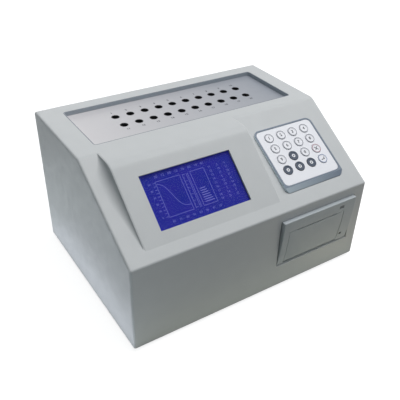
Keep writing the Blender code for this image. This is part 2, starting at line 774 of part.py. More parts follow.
def make_rear_panel(finish):
    """The sheet that closes the back, with vents and the holes of the connectors."""
    x = around(0, WIDTH - 2 * (WALL + CLEARANCE))
    z = (BASE_TOP + CLEARANCE, TOP_Z - WALL - CLEARANCE)
    panel = box("rear_panel", x, (REAR_FACE - REAR_THICKNESS, REAR_FACE), z, WORLD, finish)
    through = grown((REAR_FACE - REAR_THICKNESS, REAR_FACE), OVERRUN)
    vents = []
    for row in range(VENT_ROWS):
        z = around(VENT_Z + (row - (VENT_ROWS - 1) / 2) * (VENT_LENGTH + 2 * VENT_WIDTH), VENT_LENGTH)
        for column in range(VENT_COLUMNS):
            middle = VENT_X + (column - (VENT_COLUMNS - 1) / 2) * VENT_PITCH
            vents.append((around(middle, VENT_WIDTH), through, z))
    fit = 2 * CLEARANCE
    connectors = [
        (around(INLET_X, INLET_WIDTH + fit), through, around(CONNECTOR_Z, INLET_HEIGHT + fit)),
        (around(SWITCH_X, SWITCH_WIDTH + fit), through, around(CONNECTOR_Z, SWITCH_HEIGHT + fit)),
        (around(PORT_X, PORT_WIDTH + fit), through, around(CONNECTOR_Z, PORT_HEIGHT + fit)),
    ]
    return cut(panel, boxes("rear_openings", vents + connectors))


def make_rods(finish):
    """Two ground rods that guide the carriage."""
    top = PANEL_UNDERSIDE - CLEARANCE
    left = (BASE_TOP + CLEARANCE, top)
    right = (BRACKET_TOP + CLEARANCE, top)
    cylinders("guide_rod_left", ROD_RADIUS, [(TUBE_X - ROD_X, TUBE_Y)], left, WORLD, finish)
    cylinders("guide_rod_right", ROD_RADIUS, [(TUBE_X + ROD_X, TUBE_Y)], right, WORLD, finish)


def make_motor(body, sheet):
    """The stepper motor and the bridge of sheet metal that it hangs from."""
    half = MOTOR_SIZE / 2
    corners = [(-half, -half), (half, -half), (half, half), (-half, half)]
    outline = rounded(corners, [MOTOR_CHAMFER] * 4, 1)
    place = Matrix.Translation((MOTOR_X, TUBE_Y, 0))
    motor = prism("stepper_motor", outline, (MOTOR_Z, MOTOR_TOP), place, body)
    pilot = cylinders("pilot", PILOT_RADIUS, [(0, 0)], (MOTOR_TOP - SINK, MOTOR_TOP + PILOT_HEIGHT), place)
    bore = (MOTOR_TOP - SHAFT_HOLD - CLEARANCE, MOTOR_TOP + OVERRUN)
    hole = cylinders("shaft_bore", SHAFT_RADIUS + CLEARANCE, [(0, 0)], bore, place, sides=SOCKET_SIDES)
    cut(join(motor, pilot), hole)

    inside = half + BRACKET_WALL / 2
    outside = inside + BRACKET_WALL
    low = BASE_TOP + CLEARANCE
    plate = BRACKET_TOP - BRACKET_PLATE
    profile = [(-outside, low), (-outside, BRACKET_TOP), (outside, BRACKET_TOP), (outside, low)]
    profile += [(inside, low), (inside, plate), (-inside, plate), (-inside, low)]
    x = around(MOTOR_X - BRACKET_SHIFT, BRACKET_WIDTH)
    bridge = prism("motor_bracket", profile, x, Matrix.Translation((0, TUBE_Y, 0)) @ SIDEWAYS, sheet)
    hole = grown((plate, BRACKET_TOP), OVERRUN)
    cut(bridge, cylinders("pilot_hole", PILOT_RADIUS + CLEARANCE, [(0, 0)], hole, place))


def make_screw(steel, alloy):
    """Shaft, coupling and lead screw, which turn together."""
    place = Matrix.Translation((MOTOR_X, TUBE_Y, 0))
    shaft_span = (MOTOR_TOP - SHAFT_HOLD, COUPLING_MIDDLE - CLEARANCE)
    shaft = cylinders("motor_shaft", SHAFT_RADIUS, [(0, 0)], shaft_span, place, steel, SOCKET_SIDES)
    screw_span = (COUPLING_MIDDLE + CLEARANCE, PANEL_UNDERSIDE - CLEARANCE)
    screw = cylinders("lead_screw", SCREW_RADIUS, [(0, 0)], screw_span, place, steel, SOCKET_SIDES)
    profile = [
        (SCREW_RADIUS + CLEARANCE, COUPLING_Z + COUPLING_LENGTH),
        (COUPLING_RADIUS, COUPLING_Z + COUPLING_LENGTH),
        (COUPLING_RADIUS, COUPLING_Z),
        (SHAFT_RADIUS + CLEARANCE, COUPLING_Z),
        (SHAFT_RADIUS + CLEARANCE, COUPLING_MIDDLE),
        (SCREW_RADIUS + CLEARANCE, COUPLING_MIDDLE),
    ]
    coupling = turned("shaft_coupling", profile, place, alloy)
    pivot("screw_axis", place, shaft, screw, coupling)


def make_carriage(plastic, brass, board):
    """The frame that carries the light barriers past both rows of tubes."""
    rows = TUBE_ROW_GAP / 2
    deep = rows + CARRIAGE_SLOT + CARRIAGE_RAIL
    x = (TUBE_X - SLOT_END - CARRIAGE_END, MOTOR_X + NUT_FLANGE_RADIUS)
    z = (CARRIAGE_Z, CARRIAGE_TOP)
    frame = box("sensor_carriage", x, (TUBE_Y - deep, TUBE_Y + deep), z, WORLD, plastic)
    bevel(frame, CARRIAGE_EDGE, 1)
    run = around(TUBE_X, 2 * SLOT_END)
    through = grown(z, OVERRUN)
    slots = [(run, around(TUBE_Y + side * rows, 2 * CARRIAGE_SLOT), through) for side in (-1, 1)]
    rods = [(TUBE_X - ROD_X, TUBE_Y), (TUBE_X + ROD_X, TUBE_Y)]
    rod_holes = cylinders("rod_holes", ROD_RADIUS + CLEARANCE, rods, through)
    nut_hole = cylinders("nut_hole", NUT_RADIUS + CLEARANCE, [(MOTOR_X, TUBE_Y)], through)
    cut(frame, boxes("sensor_slots", slots), rod_holes, nut_hole)

    shoulder = CARRIAGE_Z - CLEARANCE
    profile = [
        (SCREW_RADIUS + CLEARANCE, CARRIAGE_TOP),
        (NUT_RADIUS, CARRIAGE_TOP),
        (NUT_RADIUS, shoulder),
        (NUT_FLANGE_RADIUS, shoulder),
        (NUT_FLANGE_RADIUS, shoulder - NUT_FLANGE),
        (SCREW_RADIUS + CLEARANCE, shoulder - NUT_FLANGE),
    ]
    nut = turned("screw_nut", profile, Matrix.Translation((MOTOR_X, TUBE_Y, 0)), brass)

    level = (CARRIAGE_TOP + CLEARANCE, CARRIAGE_TOP + CLEARANCE + SENSOR_BOARD)
    reach = deep - SENSOR_INSET
    sensors = box("sensor_board", grown(run, SENSOR_BRIDGE), around(TUBE_Y, 2 * reach), level, WORLD, board)
    cut(sensors, boxes("board_slots", [(run, tall, grown(level, OVERRUN)) for run, tall, _ in slots]))
    pivot("carriage_slide", Matrix.Translation((TUBE_X, TUBE_Y, CARRIAGE_Z)), frame, nut, sensors)


def key_place(row, column):
    """Where a key sits on the keypad, from the pad's middle and its front edge."""
    x = (column - (len(KEY_ROWS[0]) - 1) / 2) * KEY_PITCH_X
    y = KEY_FIELD - KEYPAD_FOOT - KEYPAD_NOSE + ((len(KEY_ROWS) - 1) / 2 - row) * KEY_PITCH_Y
    return x, y


def key_places():
    return [key_place(row, column) for row in range(len(KEY_ROWS)) for column in range(len(KEY_ROWS[0]))]


def well_spans():
    """The well of the keypad, which clears the flange of every key."""
    margin = KEY_RADIUS + KEY_LIP + PLUG_MARGIN
    left, top = key_place(0, 0)
    right, bottom = key_place(len(KEY_ROWS) - 1, len(KEY_ROWS[0]) - 1)
    return grown((left, right), margin), grown((bottom, top), margin)


def plug_spans():
    x, y = well_spans()
    return grown(x, PLUG_WALL), grown(y, PLUG_WALL)


def make_keypad(dark, pale, board):
    """A wedge with a rim, the overlay inside the rim and the board in the well below."""
    foot = (KEYPAD_FOOT, KEYPAD_FOOT + KEYPAD_LENGTH)
    outline = rectangle(around(KEYPAD_X, KEYPAD_WIDTH), foot, KEYPAD_CORNER)
    base = prism("keypad_base", outline, (CLEARANCE, KEYPAD_BLANK), CONSOLE, dark)
    wide = around(0, 2 * KEYPAD_WIDTH)
    above = (0, KEYPAD_LENGTH)
    top_plane = box("pad_top", wide, around(0, 4 * KEYPAD_LENGTH), above, KEYPAD)
    nose_plane = box("pad_nose", wide, around(0, 4 * KEYPAD_LENGTH), above, NOSE)
    cut(base, top_plane, nose_plane)

    run = KEYPAD_RUN / math.cos(KEYPAD_LEAN)
    x = around(0, KEYPAD_WIDTH - 2 * RIM_SIDE)
    y = (RIM_FRONT, run - RIM_BACK)
    floor = OVERLAY_UNDERSIDE - CLEARANCE
    pocket = prism("pad_pocket", rectangle(x, y, OVERLAY_CORNER), (floor, OVERRUN), KEYPAD)
    plug = box("pad_plug", *plug_spans(), (-PLUG_DEPTH, floor - CLEARANCE), KEYPAD)
    well = box("pad_well", *well_spans(), (-PLUG_DEPTH - OVERRUN, OVERRUN), KEYPAD)
    cut(join(cut(base, pocket), plug), well)

    x, y = grown(x, -CLEARANCE), grown(y, -CLEARANCE)
    sheet = rectangle(x, y, OVERLAY_CORNER - CLEARANCE)
    overlay = prism("keypad_overlay", sheet, (OVERLAY_UNDERSIDE, OVERLAY_TOP), KEYPAD, pale)
    through = around(OVERLAY_TOP, OVERRUN)
    key_hole = KEY_RADIUS + CLEARANCE
    cut(overlay, cylinders("key_holes", key_hole, key_places(), through, KEYPAD, sides=KEY_SIDES))

    x, y = well_spans()
    level = (KEYPAD_BOARD_TOP - KEYPAD_BOARD, KEYPAD_BOARD_TOP)
    box("keypad_board", grown(x, -CLEARANCE), grown(y, -CLEARANCE), level, KEYPAD, board)


def make_keys(finishes):
    """Sixteen round keys with a raised rim, a dished face and a flange under the overlay."""
    top = OVERLAY_TOP + KEY_RISE
    flange = KEY_RADIUS + KEY_LIP
    profile = [
        (0, top - KEY_DISH),
        (KEY_RADIUS - KEY_RIM - KEY_SLOPE, top - KEY_DISH),
        (KEY_RADIUS - KEY_RIM, top),
        (KEY_RADIUS, top),
        (KEY_RADIUS, FLANGE_TOP),
        (flange, FLANGE_TOP),
        (flange, FLANGE_UNDERSIDE),
        (0, FLANGE_UNDERSIDE),
    ]
    for row, names in enumerate(KEY_ROWS):
        for column, name in enumerate(names):
            place = KEYPAD @ Matrix.Translation((*key_place(row, column), 0))
            turned(name, profile, place, finishes.get(name, finishes["digit"]), KEY_SIDES)


def face(z):
    """How far back the bulged face of the printer lies at a height. Negative is proud."""
    rise = PRINTER_HEIGHT - z
    return FACE_RADIUS - math.sqrt(FACE_RADIUS**2 - rise**2) - PRINTER_PROUD


def face_points(low, high, depth=0.0):
    steps = [low + (high - low) * step / FACE_STEPS for step in range(FACE_STEPS + 1)]
    return [(face(z) + depth, z) for z in steps]


def hinge_y():
    return face(HINGE_Z) + DOOR_THICKNESS


def roller_y():
    return face(ROLLER_Z) + DOOR_THICKNESS + ROLLER_RADIUS + CLEARANCE + ROLLER_GAP


def turned_sideways(x, y, z):
    """A frame in the printer whose Z axis runs to the right."""
    return PRINTER @ Matrix.Translation((x, y, z)) @ SIDEWAYS


def hinge_frame():
    return turned_sideways(DOOR_X, hinge_y(), HINGE_Z)


def feed_frame():
    """A frame at the feed button whose Z axis runs to the back."""
    return PRINTER @ Matrix.Translation((FEED_X, 0, FEED_Z)) @ Matrix.Rotation(math.radians(-90), 4, "X")


def make_printer_frame(finish):
    """The bezel with its bulged face and the bucket for the paper roll behind it."""
    outline = face_points(0, PRINTER_HEIGHT) + [(PRINTER_DEPTH, PRINTER_HEIGHT), (PRINTER_DEPTH, 0)]
    frame = prism("printer_frame", outline, around(0, PRINTER_WIDTH), PRINTER @ SIDEWAYS, finish)
    bevel(frame, PRINTER_EDGE)
    doorway = around(DOOR_X, DOOR_WIDTH + 2 * DOOR_GAP)
    door_span = (DOOR_LIP, DOOR_TOP + DOOR_GAP)
    bucket_span = (BUCKET_FLOOR, BUCKET_CEILING)
    bay = (doorway[1] + BAY_GAP, PRINTER_WIDTH / 2 - BAY_GAP)
    opening = box("door_opening", doorway, (-OVERRUN, BEZEL_WALL + SINK), door_span, PRINTER)
    bucket = box("bucket", doorway, (BEZEL_WALL, PRINTER_DEPTH - PRINTER_BACK), bucket_span, PRINTER)
    feed_bay = box("feed_bay", bay, (FEED_WALL, PRINTER_DEPTH + OVERRUN), bucket_span, PRINTER)
    latch = box(
        "latch_hole",
        around(LATCH_X, LATCH_WIDTH + 2 * CLEARANCE),
        (-OVERRUN, BEZEL_WALL + SINK),
        around(LATCH_Z, LATCH_HEIGHT + 2 * CLEARANCE),
        PRINTER,
    )
    feed_depth = (-OVERRUN, FEED_WALL + SINK)
    feed_bore = FEED_RADIUS + CLEARANCE
    feed = cylinders("feed_hole", feed_bore, [(0, 0)], feed_depth, feed_frame(), sides=SOCKET_SIDES)
    pin_run = around(0, DOOR_WIDTH + 2 * (DOOR_GAP + HINGE_SEAT))
    pin_bore = HINGE_PIN + CLEARANCE
    pin = cylinders("pin_hole", pin_bore, [(0, 0)], pin_run, hinge_frame(), sides=SOCKET_SIDES)
    return cut(frame, opening, bucket, feed_bay, latch, feed, pin)


def make_door(finish, rubber, steel):
    """The paper door with its hinge barrel, and the platen roller that it carries."""
    middle = (hinge_y(), HINGE_Z)
    outline = face_points(DOOR_TOP, HINGE_Z)
    outline += arc(middle, DOOR_THICKNESS, math.pi, 2.5 * math.pi, 2 * ARC_STEPS)[1:]
    outline += face_points(HINGE_Z + DOOR_THICKNESS, DOOR_TOP, DOOR_THICKNESS)[1:]
    frame = turned_sideways(DOOR_X, 0, 0)
    door = prism("printer_door", outline, around(0, DOOR_WIDTH), frame, finish)
    bevel(door, DOOR_EDGE, 1)
    first = ROLLER_WIDTH / 2 + ROLLER_GAP
    reach = SPINDLE_RADIUS + ARM_MARGIN
    deep = (roller_y() - ROLLER_RADIUS - SINK - ROLLER_GAP, roller_y() + reach)
    tall = (ROLLER_Z - reach, ROLLER_Z + reach)
    left_arm = (DOOR_X - first - ARM_THICKNESS, DOOR_X - first)
    right_arm = (DOOR_X + first, DOOR_X + first + ARM_THICKNESS)
    arms = boxes("door_arms", [(left_arm, deep, tall), (right_arm, deep, tall)], PRINTER)
    hinge_bore = HINGE_PIN + CLEARANCE
    hinge_run = around(0, 2 * DOOR_WIDTH)
    hinge = cylinders("door_bore", hinge_bore, [(0, 0)], hinge_run, hinge_frame(), sides=SOCKET_SIDES)
    spindle_frame = turned_sideways(DOOR_X, roller_y(), ROLLER_Z)
    spindle_run = around(0, ROLLER_WIDTH + 2 * (ROLLER_GAP + ARM_THICKNESS))
    bore = cylinders(
        "spindle_bore",
        SPINDLE_RADIUS + CLEARANCE,
        [(0, 0)],
        grown(spindle_run, SINK),
        spindle_frame,
        sides=SOCKET_SIDES,
    )
    notch = box(
        "paper_slot",
        around(DOOR_X, SLOT_WIDTH),
        (-OVERRUN, roller_y() - ROLLER_RADIUS),
        (DOOR_TOP - SLOT_HEIGHT, DOOR_TOP + OVERRUN),
        PRINTER,
    )
    cut(join(door, arms), hinge, bore, notch)

    half = ROLLER_WIDTH / 2
    profile = [
        (0, spindle_run[1]),
        (SPINDLE_RADIUS, spindle_run[1]),
        (SPINDLE_RADIUS, half),
        (ROLLER_RADIUS, half),
        (ROLLER_RADIUS, -half),
        (SPINDLE_RADIUS, -half),
        (SPINDLE_RADIUS, spindle_run[0]),
        (0, spindle_run[0]),
    ]
    roller = turned("platen_roller", profile, spindle_frame, rubber)
    spin = pivot("platen_axis", spindle_frame, roller)
    pivot("door_axis", hinge_frame(), door, spin)
    pin = around(0, DOOR_WIDTH + 2 * (DOOR_GAP + HINGE_SEAT - CLEARANCE))
    cylinders("door_hinge_pin", HINGE_PIN, [(0, 0)], pin, hinge_frame(), steel, SOCKET_SIDES)


def make_paper(paper, plastic):
    """The paper roll in its bucket and the print head that presses on the roller."""
    half = PAPER_WIDTH / 2
    profile = [(CORE_RADIUS, half), (PAPER_RADIUS, half), (PAPER_RADIUS, -half), (CORE_RADIUS, -half)]
    frame = turned_sideways(DOOR_X, PAPER_Y, PAPER_Z)
    pivot("paper_axis", frame, turned("paper_roll", profile, frame, paper, 2 * SOCKET_SIDES))
    front = roller_y() + ROLLER_RADIUS + CLEARANCE
    back = front + HEAD_THICKNESS
    x = around(DOOR_X, ROLLER_WIDTH)
    ceiling = BUCKET_CEILING - CLEARANCE
    head = box("thermal_head", x, (front, back), (ROLLER_Z - HEAD_DROP / 2, ceiling), PRINTER, plastic)
    foot_span = (ceiling - HEAD_THICKNESS / 2, ceiling)
    join(head, box("head_foot", x, (front, back + HEAD_THICKNESS), foot_span, PRINTER))


def make_printer_controls(finish, dark):
    """The door latch and the paper feed button, each held back by a flange."""
    back = BEZEL_WALL + CLEARANCE
    wide = around(LATCH_X, LATCH_WIDTH)
    tall = around(LATCH_Z, LATCH_HEIGHT)
    latch = box("printer_latch", wide, (face(LATCH_Z) + LATCH_SINK, back + SINK), tall, PRINTER, finish)
    deep = (back, back + LATCH_FLANGE)
    rim = box("latch_rim", grown(wide, LATCH_LIP), deep, grown(tall, LATCH_LIP), PRINTER)
    place = PRINTER @ Matrix.Translation((LATCH_X, face(LATCH_Z), LATCH_Z))
    pivot("latch_slide", place, join(latch, rim))

    back = FEED_WALL + CLEARANCE
    profile = [
        (0, back + FEED_FLANGE),
        (FEED_RADIUS + FEED_LIP, back + FEED_FLANGE),
        (FEED_RADIUS + FEED_LIP, back),
        (FEED_RADIUS, back),
        (FEED_RADIUS, face(FEED_Z) + FEED_SINK),
        (0, face(FEED_Z) + FEED_SINK),
    ]
    button = turned("feed_button", profile, feed_frame(), dark, SOCKET_SIDES)
    pivot("feed_slide", feed_frame(), button)


def make_boards(board, black, grey):
    """The main board and the power supply on the posts of the base."""
    low = BASE_TOP + STANDOFF_HEIGHT + CLEARANCE
    x = around(BOARD_X, BOARD_WIDTH)
    y = (FRONT_Y + BOARD_FRONT, FRONT_Y + BOARD_FRONT + BOARD_DEPTH)
    main = box("main_board", x, y, (low, low + BOARD_THICKNESS), WORLD, board)
    deck = low + BOARD_THICKNESS - SINK
    chip = (around(BOARD_X, CHIP_SIZE), around(sum(y) / 2, CHIP_SIZE), (deck, deck + SINK + CHIP_HEIGHT))
    row_height = (deck, deck + SINK + PLUG_ROW_HEIGHT)
    row_left = x[0] + PLUG_ROW_DEPTH + 3 * STANDOFF_INSET
    rear_row = (
        (row_left, row_left + PLUG_ROW_WIDTH),
        (y[1] - 2 * PLUG_ROW_DEPTH, y[1] - PLUG_ROW_DEPTH),
        row_height,
    )
    side_row = (
        (x[1] - 2 * PLUG_ROW_DEPTH, x[1] - PLUG_ROW_DEPTH),
        around(sum(y) / 2, PLUG_ROW_WIDTH),
        row_height,
    )
    join(main, boxes("board_parts", [chip, rear_row, side_row]))

    x = around(SUPPLY_X, SUPPLY_WIDTH)
    y = (FRONT_Y + SUPPLY_FRONT, FRONT_Y + SUPPLY_FRONT + SUPPLY_DEPTH)
    top = low + SUPPLY_HEIGHT
    supply = box("power_supply", x, y, (low, top), WORLD, grey)
    bevel(supply, SUPPLY_SHEET, 1)
    slots = []
    slot_run = grown(y, -SUPPLY_DEPTH / 4)
    pitch = SUPPLY_WIDTH / (SUPPLY_SLOTS + 1)
    for index in range(SUPPLY_SLOTS):
        middle = x[0] + (index + 1) * pitch
        slots.append((around(middle, SUPPLY_SLOT), slot_run, (top - SUPPLY_SHEET, top + OVERRUN)))
    cut(supply, boxes("supply_slots", slots))


def rear_place(x):
    """A frame on the rear panel, seen from behind: X to the right, Y up, Z outwards."""
    return REAR @ Matrix.Translation((-x, 0, 0))


def make_inlet(black):
    """The appliance inlet for a mains lead, with its three prongs."""
    frame = rear_place(INLET_X)
    wide = around(0, INLET_WIDTH)
    tall = around(0, INLET_HEIGHT)
    top = CLEARANCE + INLET_FLANGE
    flange = (CLEARANCE, top)
    inlet = box("power_inlet", grown(wide, INLET_LAP), grown(tall, INLET_LAP), flange, frame, black)
    bevel(inlet, SINK, 1)
    barrel = box("inlet_barrel", wide, tall, (-INLET_DEPTH, CLEARANCE + SINK), frame)
    x = around(0, SOCKET_WIDTH)
    y = around(0, SOCKET_HEIGHT)
    corners = [
        (x[0], y[0]),
        (x[1], y[0]),
        (x[1], y[1] - INLET_CHAMFER),
        (x[1] - INLET_CHAMFER, y[1]),
        (x[0] + INLET_CHAMFER, y[1]),
        (x[0], y[1] - INLET_CHAMFER),
    ]
    floor = top - SOCKET_SINK
    socket = prism("inlet_socket", corners, (floor, top + OVERRUN), frame)
    prongs = []
    prong_run = (floor - SINK, top - PRONG_SINK)
    for step in (-1, 0, 1):
        height = PRONG_OFFSET if step == 0 else -PRONG_OFFSET
        across = around(step * PRONG_PITCH, PRONG_WIDTH)
        prongs.append((across, around(height, PRONG_HEIGHT), prong_run))
    join(cut(join(inlet, barrel), socket), boxes("prongs", prongs, frame))


def make_switch(black, red):
    """The power switch: a well in a snap-in body, and the rocker that tips in it."""
    frame = rear_place(SWITCH_X)
    wide = around(0, SWITCH_WIDTH)
    tall = around(0, SWITCH_HEIGHT)
    top = CLEARANCE + SWITCH_FLANGE
    flange = (CLEARANCE, top)
    body = box("switch_body", grown(wide, SWITCH_LAP), grown(tall, SWITCH_LAP), flange, frame, black)
    barrel = box("switch_barrel", wide, tall, (-SWITCH_DEPTH, CLEARANCE + SINK), frame)
    well_run = (-SWITCH_DEPTH / 2, top + OVERRUN)
    well = box("switch_well", grown(wide, -SWITCH_WALL), grown(tall, -SWITCH_WALL), well_run, frame)
    cut(join(body, barrel), well)

    reach = SWITCH_HEIGHT / 2 - SWITCH_WALL - 2 * ROCKER_GAP
    middle = ROCKER_AXIS / 2
    end = middle + reach * math.tan(ROCKER_SWING / 2)
    outline = [(-reach, end), (0, middle), (reach, end), (reach, 0)]
    outline += [(ROCKER_BELLY, -ROCKER_BELLY), (-ROCKER_BELLY, -ROCKER_BELLY), (-reach, 0)]
    place = frame @ Matrix.Translation((0, 0, top - ROCKER_AXIS)) @ SIDEWAYS
    place = place @ Matrix.Rotation(-ROCKER_SWING / 2, 4, "Z")
    span = around(0, SWITCH_WIDTH - 2 * (SWITCH_WALL + CLEARANCE))
    rocker = prism("switch_rocker", outline, span, place, red)
    pivot("rocker_axis", place, rocker)


def make_port(steel):
    """The serial port for a computer: a flange with a D-shaped shell."""
    frame = rear_place(PORT_X)
    wide = around(0, PORT_FLANGE_WIDTH)
    tall = around(0, PORT_FLANGE_HEIGHT)
    port = box("serial_port", wide, tall, (CLEARANCE, CLEARANCE + PORT_FLANGE), frame, steel)
    top = PORT_HEIGHT / 2
    half = PORT_WIDTH / 2
    narrow = half - PORT_HEIGHT * math.tan(PORT_LEAN)
    shell = rounded([(-narrow, -top), (narrow, -top), (half, top), (-half, top)], [PORT_CORNER] * 4, 2)
    join(port, prism("port_shell", shell, (-PORT_DEPTH, CLEARANCE + PORT_FLANGE + PORT_RISE), frame))


def main():
    housing = material("housing_grey", srgb(190, 192, 190), 0.45)
    panel = material("panel_grey", srgb(186, 190, 196), 0.40)
    printer = material("printer_grey", srgb(172, 176, 176), 0.50)
    dark = material("keypad_blue_grey", srgb(96, 110, 128), 0.45)
    pale = material("overlay_white", srgb(238, 236, 240), 0.35)
    arrow = material("arrow_key_slate", srgb(60, 70, 85), 0.40)
    black = material("black_plastic", srgb(28, 28, 30), 0.50)
    rubber = material("black_rubber", srgb(22, 22, 22), 0.90)
    steel = material("bright_steel", srgb(190, 190, 192), 0.30, 1.0)
    zinc = material("zinc_sheet", srgb(168, 170, 172), 0.40, 1.0)
    alloy = material("aluminium", srgb(200, 202, 205), 0.35, 1.0)
    brass = material("brass", srgb(196, 160, 90), 0.35, 1.0)
    board = material("circuit_board", srgb(30, 92, 56), 0.50)
    glass = material("display_glass", srgb(50, 55, 145), 0.10, alpha=0.4)
    screen = material("display_blue", srgb(40, 44, 140), 0.30)
    paper = material("paper", srgb(246, 246, 242), 0.90)
    clear = material("white_plastic", srgb(222, 222, 218), 0.45)

    make_housing(housing)
    make_display(glass, screen)
    make_sample_panel(panel, black)
    make_rack(black)
    make_base(zinc)
    make_feet(rubber)
    make_rear_panel(housing)
    make_rods(steel)
    make_motor(black, zinc)
    make_screw(steel, alloy)
    make_carriage(black, brass, board)
    make_keypad(dark, pale, board)
    arrows = {name: arrow for name in ("key_up", "key_left", "key_down", "key_right")}
    make_keys({"digit": pale, **arrows})
    make_printer_frame(printer)
    make_door(printer, rubber, steel)
    make_paper(paper, black)
    make_printer_controls(printer, black)
    make_boards(board, black, zinc)
    make_inlet(black)
    make_switch(black, clear)
    make_port(steel)


for old in list(bpy.data.objects):
    bpy.data.objects.remove(old, do_unlink=True)
PIECES = collection("esr_analyzer")
HELPERS = collection("cutters")
main()
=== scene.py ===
"""Looks of the sedimentation rate analyzer: finishes, prints, small fasteners, light and camera.

Every length is in metres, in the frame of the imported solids: X to the right, Y to the back,
Z up, and the origin on the bench under the middle of the instrument.
"""

import json
import math

import bmesh
import bpy
from mathutils import Matrix, Vector
from mathutils.bvhtree import BVHTree


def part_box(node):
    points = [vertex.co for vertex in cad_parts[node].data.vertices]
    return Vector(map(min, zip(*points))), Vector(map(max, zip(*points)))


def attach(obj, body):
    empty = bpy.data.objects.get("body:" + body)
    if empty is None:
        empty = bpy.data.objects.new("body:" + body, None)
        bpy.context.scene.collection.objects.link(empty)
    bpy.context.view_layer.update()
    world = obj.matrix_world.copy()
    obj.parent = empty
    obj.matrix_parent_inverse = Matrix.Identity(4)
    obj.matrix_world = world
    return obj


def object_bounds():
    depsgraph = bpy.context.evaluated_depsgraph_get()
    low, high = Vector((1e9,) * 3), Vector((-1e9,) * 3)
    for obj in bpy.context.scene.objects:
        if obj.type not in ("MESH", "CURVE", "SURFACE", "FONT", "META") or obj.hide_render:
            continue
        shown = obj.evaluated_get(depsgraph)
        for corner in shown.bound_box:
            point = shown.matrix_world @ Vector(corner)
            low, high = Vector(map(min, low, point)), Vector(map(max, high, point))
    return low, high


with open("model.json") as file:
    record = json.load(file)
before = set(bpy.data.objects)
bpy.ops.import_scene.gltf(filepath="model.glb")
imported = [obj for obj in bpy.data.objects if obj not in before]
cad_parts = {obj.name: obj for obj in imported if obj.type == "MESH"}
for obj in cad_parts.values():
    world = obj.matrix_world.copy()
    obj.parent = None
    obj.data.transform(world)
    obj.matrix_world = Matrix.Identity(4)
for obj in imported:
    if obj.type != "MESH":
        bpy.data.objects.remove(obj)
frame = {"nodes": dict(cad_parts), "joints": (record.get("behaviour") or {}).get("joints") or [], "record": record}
NODES = frame["nodes"]
CAD_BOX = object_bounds()
ROOT = "instrument"

# Camera, fitted to the photograph. The image is 400 pixels wide and high.
IMAGE = 400
FOCAL_PIXELS = 569.32
PRINCIPAL_X = 217
PRINCIPAL_Y = 206
SENSOR = 36.0
CAMERA_PLACE = (-0.33106, -0.49744, 0.48008)
CAMERA_TURN = (55.1772, -2.2822, -33.7942)
NEAREST = 0.01
FARTHEST = 100.0

# Thickness of a print and its clearance from the surface
INK = 0.00004
INK_LIFT = 0.00003

# Radii that the bevel of a finish shows on its edges
EDGE_RADIUS = 0.0006
WORN_RADIUS = 0.0009
BEVEL_SAMPLES = 6

# Angle from which an edge of a new piece stays sharp, in degrees
SHARP_ANGLE = 35


def srgb(red, green, blue):
    """Linear colour, with alpha, of a colour given as it looks on a screen, from 0 to 255."""
    shares = (red / 255, green / 255, blue / 255)
    linear = [s / 12.92 if s < 0.04045 else ((s + 0.055) / 1.055) ** 2.4 for s in shares]
    return (*linear, 1.0)


def scaled(colour, factor):
    return (*(min(1.0, share * factor) for share in colour[:3]), 1.0)


